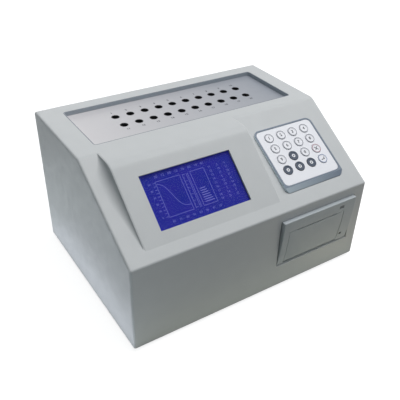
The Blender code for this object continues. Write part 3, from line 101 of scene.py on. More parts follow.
class Finish:
    """A Principled material whose colour, roughness and relief are built up from nodes."""

    def __init__(self, name, colour, roughness, **uniform):
        self.material = bpy.data.materials.new(name)
        self.material.use_nodes = True
        self.tree = self.material.node_tree
        self.shader = self.tree.nodes["Principled BSDF"]
        self.colour = colour
        self.shader.inputs["Base Color"].default_value = colour
        self.shader.inputs["Roughness"].default_value = roughness
        for socket, value in uniform.items():
            self.shader.inputs[socket.replace("_", " ")].default_value = value
        self.place = self.node("ShaderNodeTexCoord").outputs["Object"]
        self.normal = None

    def node(self, kind, **settings):
        made = self.tree.nodes.new(kind)
        for name, value in settings.items():
            setattr(made, name, value)
        return made

    def link(self, source, target):
        self.tree.links.new(source, target)

    def noise(self, scale, detail=3.0, stretch=(1, 1, 1)):
        """Noise with this many features per metre along each axis."""
        mapping = self.node("ShaderNodeMapping")
        mapping.inputs["Scale"].default_value = stretch
        texture = self.node("ShaderNodeTexNoise")
        texture.inputs["Scale"].default_value = scale
        texture.inputs["Detail"].default_value = detail
        self.link(self.place, mapping.inputs["Vector"])
        self.link(mapping.outputs["Vector"], texture.inputs["Vector"])
        return texture.outputs["Fac"]

    def span(self, value, low, high, start=0.35, end=0.65):
        """The value, stretched from start..end to low..high."""
        change = self.node("ShaderNodeMapRange")
        self.link(value, change.inputs["Value"])
        for name, number in (("From Min", start), ("From Max", end), ("To Min", low), ("To Max", high)):
            change.inputs[name].default_value = number
        return change.outputs["Result"]

    def blend(self, factor, first, second):
        """A mix of two colours, each a colour or a socket."""
        mix = self.node("ShaderNodeMix", data_type="RGBA")
        self.link(factor, mix.inputs["Factor"])
        for name, colour in (("A", first), ("B", second)):
            socket = [s for s in mix.inputs if s.name == name and s.type == "RGBA"][0]
            if isinstance(colour, bpy.types.NodeSocket):
                self.link(colour, socket)
            else:
                socket.default_value = colour
        return [s for s in mix.outputs if s.type == "RGBA"][0]

    def paint(self, colour):
        """Sets what the shader takes as its colour."""
        self.painted = colour
        self.link(colour, self.shader.inputs["Base Color"])
        return self

    def mottled(self, share, scale=60.0):
        """A slow change of shade over the surface."""
        factor = self.span(self.noise(scale), 0.0, 1.0)
        darker = scaled(self.colour, 1 - share)
        paler = scaled(self.colour, 1 + share)
        return self.paint(self.blend(factor, darker, paler))

    def patchy(self, low, high, scale=120.0, stretch=(1, 1, 1)):
        """Roughness that changes from place to place."""
        roughness = self.span(self.noise(scale, 4.0, stretch), low, high)
        self.link(roughness, self.shader.inputs["Roughness"])
        return self

    def relief(self, height, depth):
        """Small bumps of this depth, laid over the relief that is there already."""
        bump = self.node("ShaderNodeBump")
        bump.inputs["Distance"].default_value = depth
        self.link(height, bump.inputs["Height"])
        if self.normal is not None:
            self.link(self.normal, bump.inputs["Normal"])
        self.normal = bump.outputs["Normal"]
        self.link(self.normal, self.shader.inputs["Normal"])
        return self

    def shaded_up(self, colour):
        """A darker colour on the faces that look up, so that faces are painted lighter or darker by the way they
        turn: painted light and shade.
        """
        axes = self.node("ShaderNodeSeparateXYZ")
        self.link(self.node("ShaderNodeNewGeometry").outputs["Normal"], axes.inputs["Vector"])
        upward = self.span(axes.outputs["Z"], 0.0, 1.0, 0.25, 0.7)
        return self.paint(self.blend(upward, self.painted, colour))

    def rounded_normal(self, radius):
        """The normal that the surface would have with its edges rounded by this radius."""
        edge = self.node("ShaderNodeBevel", samples=BEVEL_SAMPLES)
        edge.inputs["Radius"].default_value = radius
        return edge.outputs["Normal"]

    def softened(self, radius=EDGE_RADIUS):
        """Edges that catch the light as if they were rounded by this radius."""
        self.normal = self.rounded_normal(radius)
        self.link(self.normal, self.shader.inputs["Normal"])
        return self

    def grained(self, depth, scale=2600.0):
        """The fine spark-eroded grain of moulded plastic."""
        return self.relief(self.noise(scale, 2.0), depth)

    def worn(self, share, tint=1.12):
        """Edges handled to a slightly paler shade."""
        dot = self.node("ShaderNodeVectorMath", operation="DOT_PRODUCT")
        self.link(self.rounded_normal(WORN_RADIUS), dot.inputs[0])
        self.link(self.node("ShaderNodeNewGeometry").outputs["Normal"], dot.inputs[1])
        mask = self.span(dot.outputs["Value"], share, 0.0, 0.86, 0.995)
        return self.paint(self.blend(mask, self.painted, scaled(self.colour, tint)))


def dress(finish, *names):
    """Gives CAD nodes a finish."""
    for name in names:
        slots = NODES[name].material_slots
        if not slots:
            NODES[name].data.materials.append(finish.material)
        for slot in slots:
            slot.material = finish.material


def plastic(name, colour, roughness=0.48, mottle=0.012, shine=0.34):
    """Smooth plastic, a little uneven in shade and roughness."""
    made = Finish(name, colour, roughness, Specular_IOR_Level=shine)
    made.mottled(mottle)
    return made.patchy(roughness - 0.05, roughness + 0.07)


def moulded(name, colour, roughness=0.48, grain=0.00002, mottle=0.012, wear=0.35, shine=0.34):
    """Injection moulded plastic: fine grain, softened edges, a paler shade where it is handled."""
    made = plastic(name, colour, roughness, mottle, shine)
    made.worn(wear)
    made.softened()
    return made.grained(grain)


def metal(name, colour, roughness, stretch=(1, 1, 1), depth=0.000004):
    """Metal with a grain that runs one way."""
    made = Finish(name, colour, roughness, Metallic=1.0)
    made.mottled(0.06, 200.0)
    made.patchy(roughness - 0.08, roughness + 0.12, 400.0, stretch)
    return made.relief(made.noise(1500.0, 2.0, stretch), depth)


def ink(name, colour, roughness=0.5):
    """A printed ink, a little uneven. It also makes the painted shadow line along the top of the sample recess."""
    made = Finish(name, colour, roughness)
    made.mottled(0.05, 900.0)
    return made.patchy(roughness - 0.1, roughness + 0.1, 800.0)


# Finishes of the instrument
HOUSING_GREY = srgb(192, 193, 194)
HOUSING = moulded("housing_plastic", HOUSING_GREY)
HOUSING_FILLET = plastic("housing_fillet", HOUSING_GREY)
REAR = moulded("rear_plastic", srgb(184, 187, 186), 0.5)
PRINTER = moulded("printer_plastic", srgb(172, 177, 181), 0.5)
# Printer latch: a real part, made dark grey as painted shade for the shadow in the notch it sits in
SHADED_LATCH = moulded("latch_painted_shade", srgb(92, 97, 100), 0.45)
# Painted shade: a darker grey for the band that lines the walls of the sample recess
RECESS_SHADE = moulded("recess_painted_shade", srgb(166, 173, 181), 0.45)
BLACK = moulded("black_plastic", srgb(30, 30, 32), 0.45)
SWITCH = moulded("switch_plastic", srgb(40, 40, 43), 0.35)
KEY_LIGHT = moulded("key_plastic", srgb(230, 229, 234), 0.38, 0.00001)
KEY_DARK = moulded("arrow_key_plastic", srgb(62, 72, 88), 0.40, 0.00001)
STEEL = metal("ground_steel", srgb(196, 197, 200), 0.24, (1, 1, 0.05))
ZINC = metal("zinc_plated_sheet", srgb(172, 174, 178), 0.38, (0.1, 1, 1))
ALLOY = metal("turned_aluminium", srgb(205, 207, 210), 0.32, (1, 1, 6))
BRASS = metal("turned_brass", srgb(200, 164, 92), 0.30, (1, 1, 6))
INK_DARK = ink("dark_ink", srgb(40, 42, 52))
# Painted shadow: the dark line along the top edge of the sample recess
SHADOW_LINE_INK = ink("painted_shadow_line", srgb(112, 118, 128))
INK_GREY = ink("grey_ink", srgb(124, 126, 135))
INK_RED = ink("red_ink", srgb(168, 118, 130))
INK_BLUE = ink("blue_ink", srgb(98, 118, 158))
INK_WHITE = ink("white_ink", srgb(232, 232, 236))


def faded(name, node, left, right, roughness, shine=0.25):
    """A surface whose colour changes from the left end of a node to its right end: painted light, paler at the
    left, which on the sample panel is mixed with a printed gradient.
    """
    made = Finish(name, left, roughness, Specular_IOR_Level=shine)
    axes = made.node("ShaderNodeSeparateXYZ")
    made.link(made.place, axes.inputs["Vector"])
    low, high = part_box(node)
    made.paint(made.blend(made.span(axes.outputs["X"], 0.0, 1.0, low.x, high.x), left, right))
    made.patchy(roughness - 0.04, roughness + 0.05, 90.0)
    return made


def circuit_board():
    """Solder mask over copper: a weave below and blocky traces that show through."""
    made = Finish("circuit_board", srgb(24, 88, 52), 0.35)
    bricks = made.node("ShaderNodeTexBrick")
    bricks.inputs["Scale"].default_value = 180.0
    bricks.inputs["Mortar Size"].default_value = 0.03
    made.link(made.place, bricks.inputs["Vector"])
    made.paint(made.blend(bricks.outputs["Fac"], srgb(22, 82, 48), srgb(56, 132, 84)))
    return made.relief(bricks.outputs["Fac"], 0.00002)


def rubber():
    made = Finish("black_rubber", srgb(26, 26, 26), 0.85)
    made.mottled(0.25, 300.0)
    made.patchy(0.75, 0.95)
    return made.grained(0.00005, 1800.0)


def paper():
    made = Finish("thermal_paper", srgb(244, 244, 240), 0.75)
    made.mottled(0.02, 500.0)
    return made.relief(made.noise(3000.0, 4.0, (0.3, 1, 1)), 0.00001)


def glass():
    """The clear window, with a coating that takes away most of its reflections."""
    made = Finish("clear_acrylic", srgb(236, 240, 255), 0.05, Transmission_Weight=1.0, IOR=1.12)
    made.shader.inputs["Specular IOR Level"].default_value = 0.05
    cloud = made.span(made.noise(30.0), 0.0, 1.0)
    made.paint(made.blend(cloud, srgb(232, 236, 255), srgb(240, 243, 255)))
    return made.patchy(0.03, 0.08, 40.0)


# Size of a dot of the display
SCREEN_DOT = 0.00045


def screen():
    """The lit blue face of the display, with a faint grid of square dots."""
    made = Finish("display_blue", srgb(46, 50, 142), 0.6, Specular_IOR_Level=0.0)
    dots = made.node("ShaderNodeTexChecker")
    dots.inputs["Scale"].default_value = 1 / (2 * SCREEN_DOT)
    made.link(made.place, dots.inputs["Vector"])
    cloud = made.blend(made.span(made.noise(45.0), 0.0, 1.0), srgb(43, 50, 140), srgb(52, 50, 146))
    grid = made.span(dots.outputs["Fac"], 0.0, 0.06, 0.0, 1.0)
    made.paint(made.blend(grid, cloud, srgb(70, 72, 160)))
    made.link(cloud, made.shader.inputs["Emission Color"])
    made.shader.inputs["Emission Strength"].default_value = 0.34
    return made


def glowing(name, colour, strength):
    """A surface that gives off its own colour."""
    made = Finish(name, colour, 0.5)
    made.mottled(0.04, 700.0)
    made.link(made.painted, made.shader.inputs["Emission Color"])
    made.shader.inputs["Emission Strength"].default_value = strength
    return made


# Sample panel film: a printed gradient mixed with a painted reflection, pale at the left and darker to the right
PANEL_FILM = faded("panel_film_print_and_sheen", "sample_panel", srgb(204, 200, 202), srgb(142, 146, 155), 0.34)
PANEL_FILM.relief(PANEL_FILM.noise(2200.0, 2.0), 0.000006)
# Keypad base: painted light, nearly white at its left end and falling off to the right, and painted shade on its
# faces that look up
KEYPAD_BASE = faded("keypad_base_plastic", "keypad_base", srgb(228, 240, 247), srgb(134, 144, 162), 0.42)
KEYPAD_BASE.shaded_up(srgb(118, 128, 142))
KEYPAD_BASE.softened().grained(0.00002)
OVERLAY = moulded("overlay_film", srgb(232, 231, 236), 0.36, 0.000008, 0.006, 0.1, 0.25)
BOARD = circuit_board()
RUBBER = rubber()
PAPER = paper()
GLASS = glass()
SCREEN = screen()
LIT = glowing("display_line", srgb(118, 118, 196), 0.20)

DIGITS = [f"key_{digit}" for digit in range(10)]
ACTIONS = ["key_cancel", "key_enter"]
ARROWS = ["key_up", "key_left", "key_down", "key_right"]
KEYS = DIGITS + ACTIONS + ARROWS

dress(HOUSING, "upper_housing")
dress(REAR, "rear_panel")
dress(PRINTER, "printer_frame", "printer_door")
dress(SHADED_LATCH, "printer_latch")
dress(KEYPAD_BASE, "keypad_base")
dress(OVERLAY, "keypad_overlay")
dress(PANEL_FILM, "sample_panel")
dress(KEY_LIGHT, *DIGITS, *ACTIONS)
dress(KEY_DARK, *ARROWS)
dress(BLACK, "rack_table", "rack_front", "rack_middle", "rack_rear")
dress(BLACK, "deck_front", "deck_middle", "deck_rear")
dress(BLACK, "stepper_motor", "sensor_carriage", "thermal_head", "power_inlet")
dress(BLACK, "feed_button", "switch_body")
dress(SWITCH, "switch_rocker")
dress(STEEL, "guide_rod_left", "guide_rod_right", "lead_screw", "motor_shaft", "door_hinge_pin")
dress(ZINC, "base_plate", "motor_bracket", "power_supply", "serial_port")
dress(ALLOY, "shaft_coupling")
dress(BRASS, "screw_nut")
dress(RUBBER, "foot_front_left", "foot_front_right", "foot_rear_left", "foot_rear_right", "platen_roller")
dress(BOARD, "keypad_board", "sensor_board", "main_board")
dress(PAPER, "paper_roll")
dress(GLASS, "lcd_window")
dress(SCREEN, "lcd_module")


# Ways of making pieces


def put(name, mesh, finish, body=ROOT, smooth=True):
    """A new piece that rides on a body."""
    made = bpy.data.objects.new(name, mesh)
    bpy.context.scene.collection.objects.link(made)
    if not mesh.materials:
        mesh.materials.append(finish.material)
    if smooth:
        mesh.shade_smooth()
        mesh.set_sharp_from_angle(angle=math.radians(SHARP_ANGLE))
    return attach(made, body)


def mesh_from(shape, name):
    """The finished mesh of a shape, which is freed."""
    mesh = bpy.data.meshes.new(name)
    bmesh.ops.recalc_face_normals(shape, faces=shape.faces)
    shape.to_mesh(mesh)
    shape.free()
    return mesh


def text_shape(shape, words, size, place, bold=0.0):
    """Adds thin raised lettering, centred on the place, to a mesh that is being made."""
    curve = bpy.data.curves.new("words", "FONT")
    curve.body = words
    curve.size = size
    curve.align_x = "CENTER"
    curve.align_y = "CENTER"
    curve.resolution_u = 3
    curve.offset = bold
    curve.extrude = INK / 2
    helper = bpy.data.objects.new("words", curve)
    bpy.context.scene.collection.objects.link(helper)
    evaluated = helper.evaluated_get(bpy.context.evaluated_depsgraph_get())
    mesh = bpy.data.meshes.new_from_object(evaluated)
    bpy.data.objects.remove(helper, do_unlink=True)
    mesh.transform(place @ Matrix.Translation((0, 0, INK / 2)))
    shape.from_mesh(mesh)
    bpy.data.meshes.remove(mesh)


def bar_shape(shape, x, y, place, thickness=INK):
    """Adds a thin bar that spans x and y."""
    middle = Vector(((x[0] + x[1]) / 2, (y[0] + y[1]) / 2, thickness / 2))
    size = (x[1] - x[0], y[1] - y[0], thickness)
    matrix = place @ Matrix.Translation(middle) @ Matrix.Diagonal((*size, 1.0))
    bmesh.ops.create_cube(shape, size=1.0, matrix=matrix)


def line_shape(shape, start, end, width, place):
    """Adds a thin bar from one point to another."""
    start = Vector(start)
    step = Vector(end) - start
    turn = Matrix.Rotation(math.atan2(step.y, step.x), 4, "Z")
    at = place @ Matrix.Translation((start.x, start.y, 0)) @ turn
    bar_shape(shape, (-width / 2, step.length + width / 2), (-width / 2, width / 2), at)


def ring_shape(shape, inner, outer, place, thickness=INK, sides=48):
    """Adds a flat ring."""
    loops = []
    for radius, height in ((outer, 0), (outer, thickness), (inner, thickness), (inner, 0)):
        loop = []
        for step in range(sides):
            angle = 2 * math.pi * step / sides
            point = place @ Vector((radius * math.cos(angle), radius * math.sin(angle), height))
            loop.append(shape.verts.new(point))
        loops.append(loop)
    for index, first in enumerate(loops):
        second = loops[(index + 1) % len(loops)]
        for step in range(sides):
            after = (step + 1) % sides
            shape.faces.new((first[step], first[after], second[after], second[step]))


def turned_shape(shape, profile, place, sides=32):
    """Adds a profile of (radius, height), which starts and ends on the axis, turned round Z."""
    loops = []
    for radius, height in profile:
        if radius == 0:
            loops.append([shape.verts.new(place @ Vector((0, 0, height)))])
            continue
        loop = []
        for step in range(sides):
            angle = 2 * math.pi * step / sides
            point = Vector((radius * math.cos(angle), radius * math.sin(angle), height))
            loop.append(shape.verts.new(place @ point))
        loops.append(loop)
    for first, second in zip(loops, loops[1:]):
        for step in range(sides):
            after = (step + 1) % sides
            corners = [first[step % len(first)], first[after % len(first)]]
            corners += [second[after % len(second)], second[step % len(second)]]
            shape.faces.new(list(dict.fromkeys(corners)))


def on_plane(origin, normal, right=Vector((1, 0, 0))):
    """A frame at the origin whose Z axis is the normal and whose X axis runs to the right."""
    normal = Vector(normal).normalized()
    up = normal.cross(right).normalized()
    across = up.cross(normal)
    axes = Matrix((across, up, normal)).transposed().to_4x4()
    return Matrix.Translation(origin) @ axes


def extent(node, place):
    """Lowest and highest corner of a node in the axes of a place."""
    inverse = place.inverted()
    points = [inverse @ vertex.co for vertex in NODES[node].data.vertices]
    low = Vector([min(point[axis] for point in points) for axis in range(3)])
    high = Vector([max(point[axis] for point in points) for axis in range(3)])
    return low, high


# Sample panel: numbers beside the holes and a liner in each hole

PANEL_LOW, PANEL_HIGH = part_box("sample_panel")
PANEL_TOP = PANEL_HIGH.z
TUBES_IN_A_ROW = 10
LABEL_STEP = 0.0115
LABEL_SIZE = 0.0046
LABEL_BOLD = 0.00012
LINER_OUTER = 0.00486
LINER_INNER = 0.00445
LINER_DEPTH = 0.006
LINER_RISE = 0.0001


def tube_centres():
    """(number, x, y) of each tube hole, from the openings that the record states."""
    found = []
    for opening in frame["record"]["physics"]["openings"]:
        if not opening["name"].startswith("tube_"):
            continue
        row, index = opening["name"].split("_")[1:]
        low, high = opening["box_m"]
        number = int(index) + (0 if row == "rear" else TUBES_IN_A_ROW)
        found.append((number, (low[0] + high[0]) / 2, (low[1] + high[1]) / 2))
    return found


def make_tube_marks():
    """The numbers and the liners, each set as one piece."""
    numbers = bmesh.new()
    liners = bmesh.new()
    for number, x, y in tube_centres():
        step = LABEL_STEP if number <= TUBES_IN_A_ROW else -LABEL_STEP
        place = Matrix.Translation((x, y + step, PANEL_TOP + INK_LIFT))
        text_shape(numbers, str(number), LABEL_SIZE, place, LABEL_BOLD)
        foot = Matrix.Translation((x, y, PANEL_TOP - LINER_DEPTH))
        ring_shape(liners, LINER_INNER, LINER_OUTER, foot, LINER_DEPTH + LINER_RISE)
    put("tube_numbers", mesh_from(numbers, "tube_numbers"), INK_DARK, smooth=False)
    put("tube_liners", mesh_from(liners, "tube_liners"), BLACK)


make_tube_marks()


# Recess of the sample panel: a darker band on its walls and a fine dark line along its top, painted shade of the
# recess

# Width of the panel that lies under the edge of the recess
PANEL_LAP = 0.006
RECESS_RADIUS = 0.004
# Painted shade band on the recess walls: its width, its gap from the walls and how far its top stays below the
# housing's top
SHADE_BAND_WIDTH = 0.0010
SHADE_BAND_GAP = 0.00003
SHADE_BAND_DROP = 0.00012


def rounded_loop(shape, x, y, radius, height, steps=6):
    """Adds the points of a rectangle with rounded corners at a height, and returns them."""
    loop = []
    for quarter, (side_x, side_y) in enumerate(((1, 1), (-1, 1), (-1, -1), (1, -1))):
        centre_x = x[1] - radius if side_x > 0 else x[0] + radius
        centre_y = y[1] - radius if side_y > 0 else y[0] + radius
        for step in range(steps + 1):
            angle = math.pi / 2 * (quarter + step / steps)
            place = (centre_x + radius * math.cos(angle), centre_y + radius * math.sin(angle), height)
            loop.append(shape.verts.new(place))
    return loop


def band_shape(shape, outer, inner, low, high):
    """Adds a band between two insets from the edge of the sample panel, from a low to a high level."""
    loops = []
    for inset, height in ((outer, low), (outer, high), (inner, high), (inner, low)):
        x = (PANEL_LOW.x + inset, PANEL_HIGH.x - inset)
        y = (PANEL_LOW.y + inset, PANEL_HIGH.y - inset)
        loops.append(rounded_loop(shape, x, y, RECESS_RADIUS + PANEL_LAP - inset, height))
    for index, loop in enumerate(loops):
        second = loops[(index + 1) % len(loops)]
        for step in range(len(loop)):
            after = (step + 1) % len(loop)
            shape.faces.new((loop[step], loop[after], second[after], second[step]))


def make_recess_trim():
    outer = PANEL_LAP + SHADE_BAND_GAP
    inner = outer + SHADE_BAND_WIDTH
    top = CAD_BOX[1].z - SHADE_BAND_DROP
    # A darker band on the walls: painted shade of the recess
    walls = bmesh.new()
    band_shape(walls, outer, inner, PANEL_TOP + SHADE_BAND_GAP, top)
    put("recess_trim", mesh_from(walls, "recess_trim"), RECESS_SHADE)
    # A fine dark line along the top edge: painted shadow of the recess
    line = bmesh.new()
    band_shape(line, outer, inner, top + SHADE_BAND_GAP, top + SHADE_BAND_GAP + INK)
    put("recess_line", mesh_from(line, "recess_line"), SHADOW_LINE_INK)


make_recess_trim()


# Display hump: a soft fillet where its left wall meets the slope

# Largest radius of the fillet, and the share of the wall's height that it may cover
FILLET = 0.011
FILLET_SHARE = 0.92
FILLET_POINTS = 12
FILLET_SINK = 0.00003
FILLET_STEP = 0.002

# How the wall is found: a distance to either side of it, a height above everything, the halvings
BESIDE_WALL = 0.004
ABOVE = 1.0
HALVINGS = 24


def height_at(tree, x, y):
    """Height of the housing's upper surface."""
    return tree.ray_cast(Vector((x, y, ABOVE)), Vector((0, 0, -1)))[0].z


def wall_x(tree, outside, inside, y):
    """Where the hump's side wall stands, between a place beside it and one on it."""
    middle = (height_at(tree, outside, y) + height_at(tree, inside, y)) / 2
    for _ in range(HALVINGS):
        x = (outside + inside) / 2
        if height_at(tree, x, y) > middle:
            inside = x
        else:
            outside = x
    return outside


def fillet_section(wall, y, slope, radius):
    """The foot of the wall, then a hollow arc from the slope up the wall."""
    points = [Vector((wall + FILLET_SINK, y, slope - FILLET_SINK))]
    for step in range(FILLET_POINTS + 1):
        angle = math.pi / 2 * step / FILLET_POINTS
        x = wall - radius * (1 - math.sin(angle))
        z = slope + radius * (1 - math.cos(angle)) - FILLET_SINK
        points.append(Vector((x, y, z)))
    return points


def make_hump_fillet():
    housing = NODES["upper_housing"].data
    corners = [vertex.co for vertex in housing.vertices]
    tree = BVHTree.FromPolygons(corners, [tuple(face.vertices) for face in housing.polygons])
    window_low, window_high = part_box("lcd_window")
    outside = CAD_BOX[0].x + BESIDE_WALL
    inside = window_low.x - BESIDE_WALL
    wall = wall_x(tree, outside, inside, (window_low.y + window_high.y) / 2)
    shape = bmesh.new()
    sections = []
    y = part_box("upper_housing")[0].y + BESIDE_WALL
    while y < PANEL_LOW.y:
        slope = height_at(tree, wall - BESIDE_WALL, y)
        wall_height = height_at(tree, wall + BESIDE_WALL, y) - slope
        radius = min(FILLET, FILLET_SHARE * wall_height)
        if radius > 2 * FILLET_SINK:
            points = fillet_section(wall, y, slope, radius)
            sections.append([shape.verts.new(point) for point in points])
        y += FILLET_STEP
    for first, second in zip(sections, sections[1:]):
        for step in range(len(first)):
            after = (step + 1) % len(first)
            shape.faces.new((first[step], first[after], second[after], second[step]))
    shape.faces.new(sections[0])
    shape.faces.new(sections[-1])
    put("hump_fillet", mesh_from(shape, "hump_fillet"), HOUSING_FILLET)


make_hump_fillet()


# Keys: a ring and a legend on each

KEY_LEGEND = 0.0052
KEY_BOLD = 0.00018
RING_OUTER = 0.0058
RING_WIDTH = 0.0007
STROKE = 0.0009
ARROW_DOT = 0.0022
ARROW_DOT_BORE = 0.00002
ARROW = 0.0015
RETURN_ARROW = 0.0010
DISH = 0.0005

# Half width and tail of an arrowhead, as shares of its tip's reach
ARROW_WIDTH_SHARE = 0.85
ARROW_TAIL_SHARE = 0.55

# Reach of the cross and of the return sign, as shares of the height of a legend
CROSS_SHARE = 0.36
RETURN_SHARE = 0.42

# Return sign: its top, its level stroke, the end of that stroke and its arrow, as shares of its reach
RETURN_TOP_SHARE = 0.8
RETURN_LEVEL_SHARE = -0.4
RETURN_END_SHARE = -0.6
RETURN_ARROW_SHARE = -0.7


def key_frame(key):
    """A frame on the middle of a key's top, and the name of the key's body."""
    joint = [j for j in frame["joints"] if j["child"] == key + "_cap"][0]
    place = on_plane((0, 0, 0), -Vector(joint["axis"]))
    low, high = extent(key, place)
    middle = Vector(((low.x + high.x) / 2, (low.y + high.y) / 2, high.z))
    return place @ Matrix.Translation(middle), joint["child"]


def arrow_shape(shape, turn, size, place):
    """Adds a thin triangle that points the way it is turned."""
    place = place @ Matrix.Rotation(turn, 4, "Z")
    half_width = size * ARROW_WIDTH_SHARE
    tail = -size * ARROW_TAIL_SHARE
    tip = (0, size)
    left = (-half_width, tail)
    right = (half_width, tail)
    verts = []
    for height in (0, INK):
        for point in (tip, left, right):
            verts.append(shape.verts.new(place @ Vector((*point, height))))
    shape.faces.new((verts[2], verts[1], verts[0]))
    shape.faces.new((verts[3], verts[4], verts[5]))
    for first in range(3):
        second = (first + 1) % 3
        shape.faces.new((verts[first], verts[second], verts[second + 3], verts[first + 3]))


def cross_legend(shape, face):
    """Two crossed strokes, one just above the other."""
    reach = KEY_LEGEND * CROSS_SHARE
    line_shape(shape, (-reach, -reach), (reach, reach), STROKE, face)
    above = face @ Matrix.Translation((0, 0, INK))
    line_shape(shape, (-reach, reach), (reach, -reach), STROKE, above)


def return_legend(shape, face):
    """A stroke down, a stroke to the left and an arrowhead at its end."""
    reach = KEY_LEGEND * RETURN_SHARE
    level = reach * RETURN_LEVEL_SHARE
    line_shape(shape, (reach, reach * RETURN_TOP_SHARE), (reach, level), STROKE, face)
    line_shape(shape, (reach, level), (reach * RETURN_END_SHARE, level), STROKE, face)
    end = face @ Matrix.Translation((reach * RETURN_ARROW_SHARE, level, 0))
    arrow_shape(shape, math.pi / 2, RETURN_ARROW, end)


def print_arrow_key(key, turn):
    """A white dot with a dark arrow on it."""
    place, body = key_frame(key)
    face = place @ Matrix.Translation((0, 0, INK_LIFT - DISH))
    dot = bmesh.new()
    ring_shape(dot, ARROW_DOT_BORE, ARROW_DOT, face)
    put(key + "_legend", mesh_from(dot, key), INK_WHITE, body, smooth=False)
    head = bmesh.new()
    arrow_shape(head, turn, ARROW, face @ Matrix.Translation((0, 0, INK + INK_LIFT)))
    put(key + "_arrow", mesh_from(head, key), INK_DARK, body, smooth=False)


def print_key(key, ring_ink):
    """A ring round the top and a digit or a sign in the middle."""
    place, body = key_frame(key)
    face = place @ Matrix.Translation((0, 0, INK_LIFT - DISH))
    rim = bmesh.new()
    level = place @ Matrix.Translation((0, 0, INK_LIFT))
    ring_shape(rim, RING_OUTER - RING_WIDTH, RING_OUTER, level)
    put(key + "_ring", mesh_from(rim, key), ring_ink, body, smooth=False)
    legend = bmesh.new()
    if key == "key_cancel":
        cross_legend(legend, face)
    elif key == "key_enter":
        return_legend(legend, face)
    else:
        text_shape(legend, key[-1], KEY_LEGEND, face, KEY_BOLD)
    put(key + "_legend", mesh_from(legend, key), INK_DARK, body, smooth=False)


def make_key_prints():
    quarter = math.pi / 2
    turns = {"key_up": 0, "key_left": quarter, "key_down": 2 * quarter, "key_right": -quarter}
    ring_inks = {"key_cancel": INK_RED, "key_enter": INK_BLUE}
    for key in KEYS:
        if key in turns:
            print_arrow_key(key, turns[key])
        else:
            print_key(key, ring_inks.get(key, INK_GREY))


make_key_prints()


# Display: a generic screen with two plots, a ruler, bars, a curve and columns of numbers

# Lit face, and heights of its letters
SCREEN_WIDTH = 0.1085
SCREEN_HEIGHT = 0.0575
SCALE_TEXT = 0.0030
VALUE_TEXT = 0.0036
UPPER_TEXT = 0.0040
LOWER_TEXT = 0.0034

# Plots: from left to right and from bottom to top
PLOT_SHARES = ((0.13, 0.40), (0.52, 0.68))
PLOT_HEIGHT_SHARES = (0.16, 0.86)
SCALE_TICK_SHARES = (0.10, 0.125)
RULER_SHARES = (0.43, 0.475, 0.49)
RULER_TICK_SHARES = (0.46, 0.445)
TICKS = 11
TICK_START_SHARE = 0.18
TICK_STEP_SHARE = 0.066
SCALE_NUMBERS = 6
SCALE_NUMBER_SHARE = 0.065
SCALE_START_SHARE = 0.19
SCALE_STEP_SHARE = 0.13

# Bars that grow shorter towards the top
BARS = 7
BAR_LEFT_SHARE = 0.55
BAR_RIGHT_SHARE = 0.659
BAR_SHORTER_SHARE = 0.0077
BAR_START_SHARE = 0.22
BAR_STEP_SHARE = 0.045

# Curve: where it starts and how far it goes, across and down
CURVE_STEPS = 12
CURVE_STEEPNESS = 9
CURVE_MIDDLE_SHARE = 0.45
CURVE_ACROSS_SHARES = (0.14, 0.25)
CURVE_DOWN_SHARES = (0.82, 0.55)

# Made-up values in three columns, and pairs of digits in two rows
VALUE_SHARES = (0.745, 0.84, 0.93)
VALUE_ROWS = 9
VALUE_START_SHARE = 0.84
VALUE_STEP_SHARE = 0.082
PAIRS = ("20", "12", "08", "15", "36", "60", "14", "01")
PAIR_START_SHARE = 0.16
PAIR_STEP_SHARE = 0.075
UPPER_ROW_SHARE = 0.955
LOWER_ROW_SHARE = 0.07


def plate_frame(node):
    """A frame on the middle of a node's largest face that looks up, X to the right."""
    faces = [face for face in NODES[node].data.polygons if face.normal.z > 0.2]
    largest = max(faces, key=lambda face: face.area)
    place = on_plane((0, 0, 0), largest.normal)
    low, high = extent(node, place)
    middle = Vector(((low.x + high.x) / 2, (low.y + high.y) / 2, high.z))
    return place @ Matrix.Translation(middle)


class Screen:
    """Marks on the display, placed by shares of its lit width and height."""

    def __init__(self):
        self.place = plate_frame("lcd_module") @ Matrix.Translation((0, 0, INK_LIFT))
        self.shape = bmesh.new()

    def x(self, share):
        return -SCREEN_WIDTH / 2 + SCREEN_WIDTH * share

    def y(self, share):
        return -SCREEN_HEIGHT / 2 + SCREEN_HEIGHT * share

    def level(self, start, end, height, dots=1):
        """A line across."""
        low = self.y(height)
        bar_shape(self.shape, (self.x(start), self.x(end)), (low, low + dots * SCREEN_DOT), self.place)

    def upright(self, side):
        """A line up a plot."""
        left = self.x(side)
        low, high = PLOT_HEIGHT_SHARES
        bar_shape(self.shape, (left, left + SCREEN_DOT), (self.y(low), self.y(high)), self.place)

    def words(self, words, size, across, height):
        middle = Matrix.Translation((self.x(across), self.y(height), 0))
        text_shape(self.shape, words, size, self.place @ middle)


def draw_plots(screen):
    """Two frames, a scale beside the first and a ruler between them."""
    for start, end in PLOT_SHARES:
        for height in PLOT_HEIGHT_SHARES:
            screen.level(start, end, height)
        for side in (start, end):
            screen.upright(side)
    for index in range(TICKS):
        height = TICK_START_SHARE + index * TICK_STEP_SHARE
        screen.level(*SCALE_TICK_SHARES, height)
        screen.level(RULER_SHARES[0], RULER_TICK_SHARES[index % 2], height)
    for side in RULER_SHARES:
        screen.upright(side)
    for index in range(SCALE_NUMBERS):
        height = SCALE_START_SHARE + index * SCALE_STEP_SHARE
        screen.words(str(10 * index), SCALE_TEXT, SCALE_NUMBER_SHARE, height)


def draw_bars(screen):
    """Level bars in the second plot."""
    for index in range(BARS):
        end = BAR_RIGHT_SHARE - BAR_SHORTER_SHARE * index
        screen.level(BAR_LEFT_SHARE, end, BAR_START_SHARE + index * BAR_STEP_SHARE, 2)


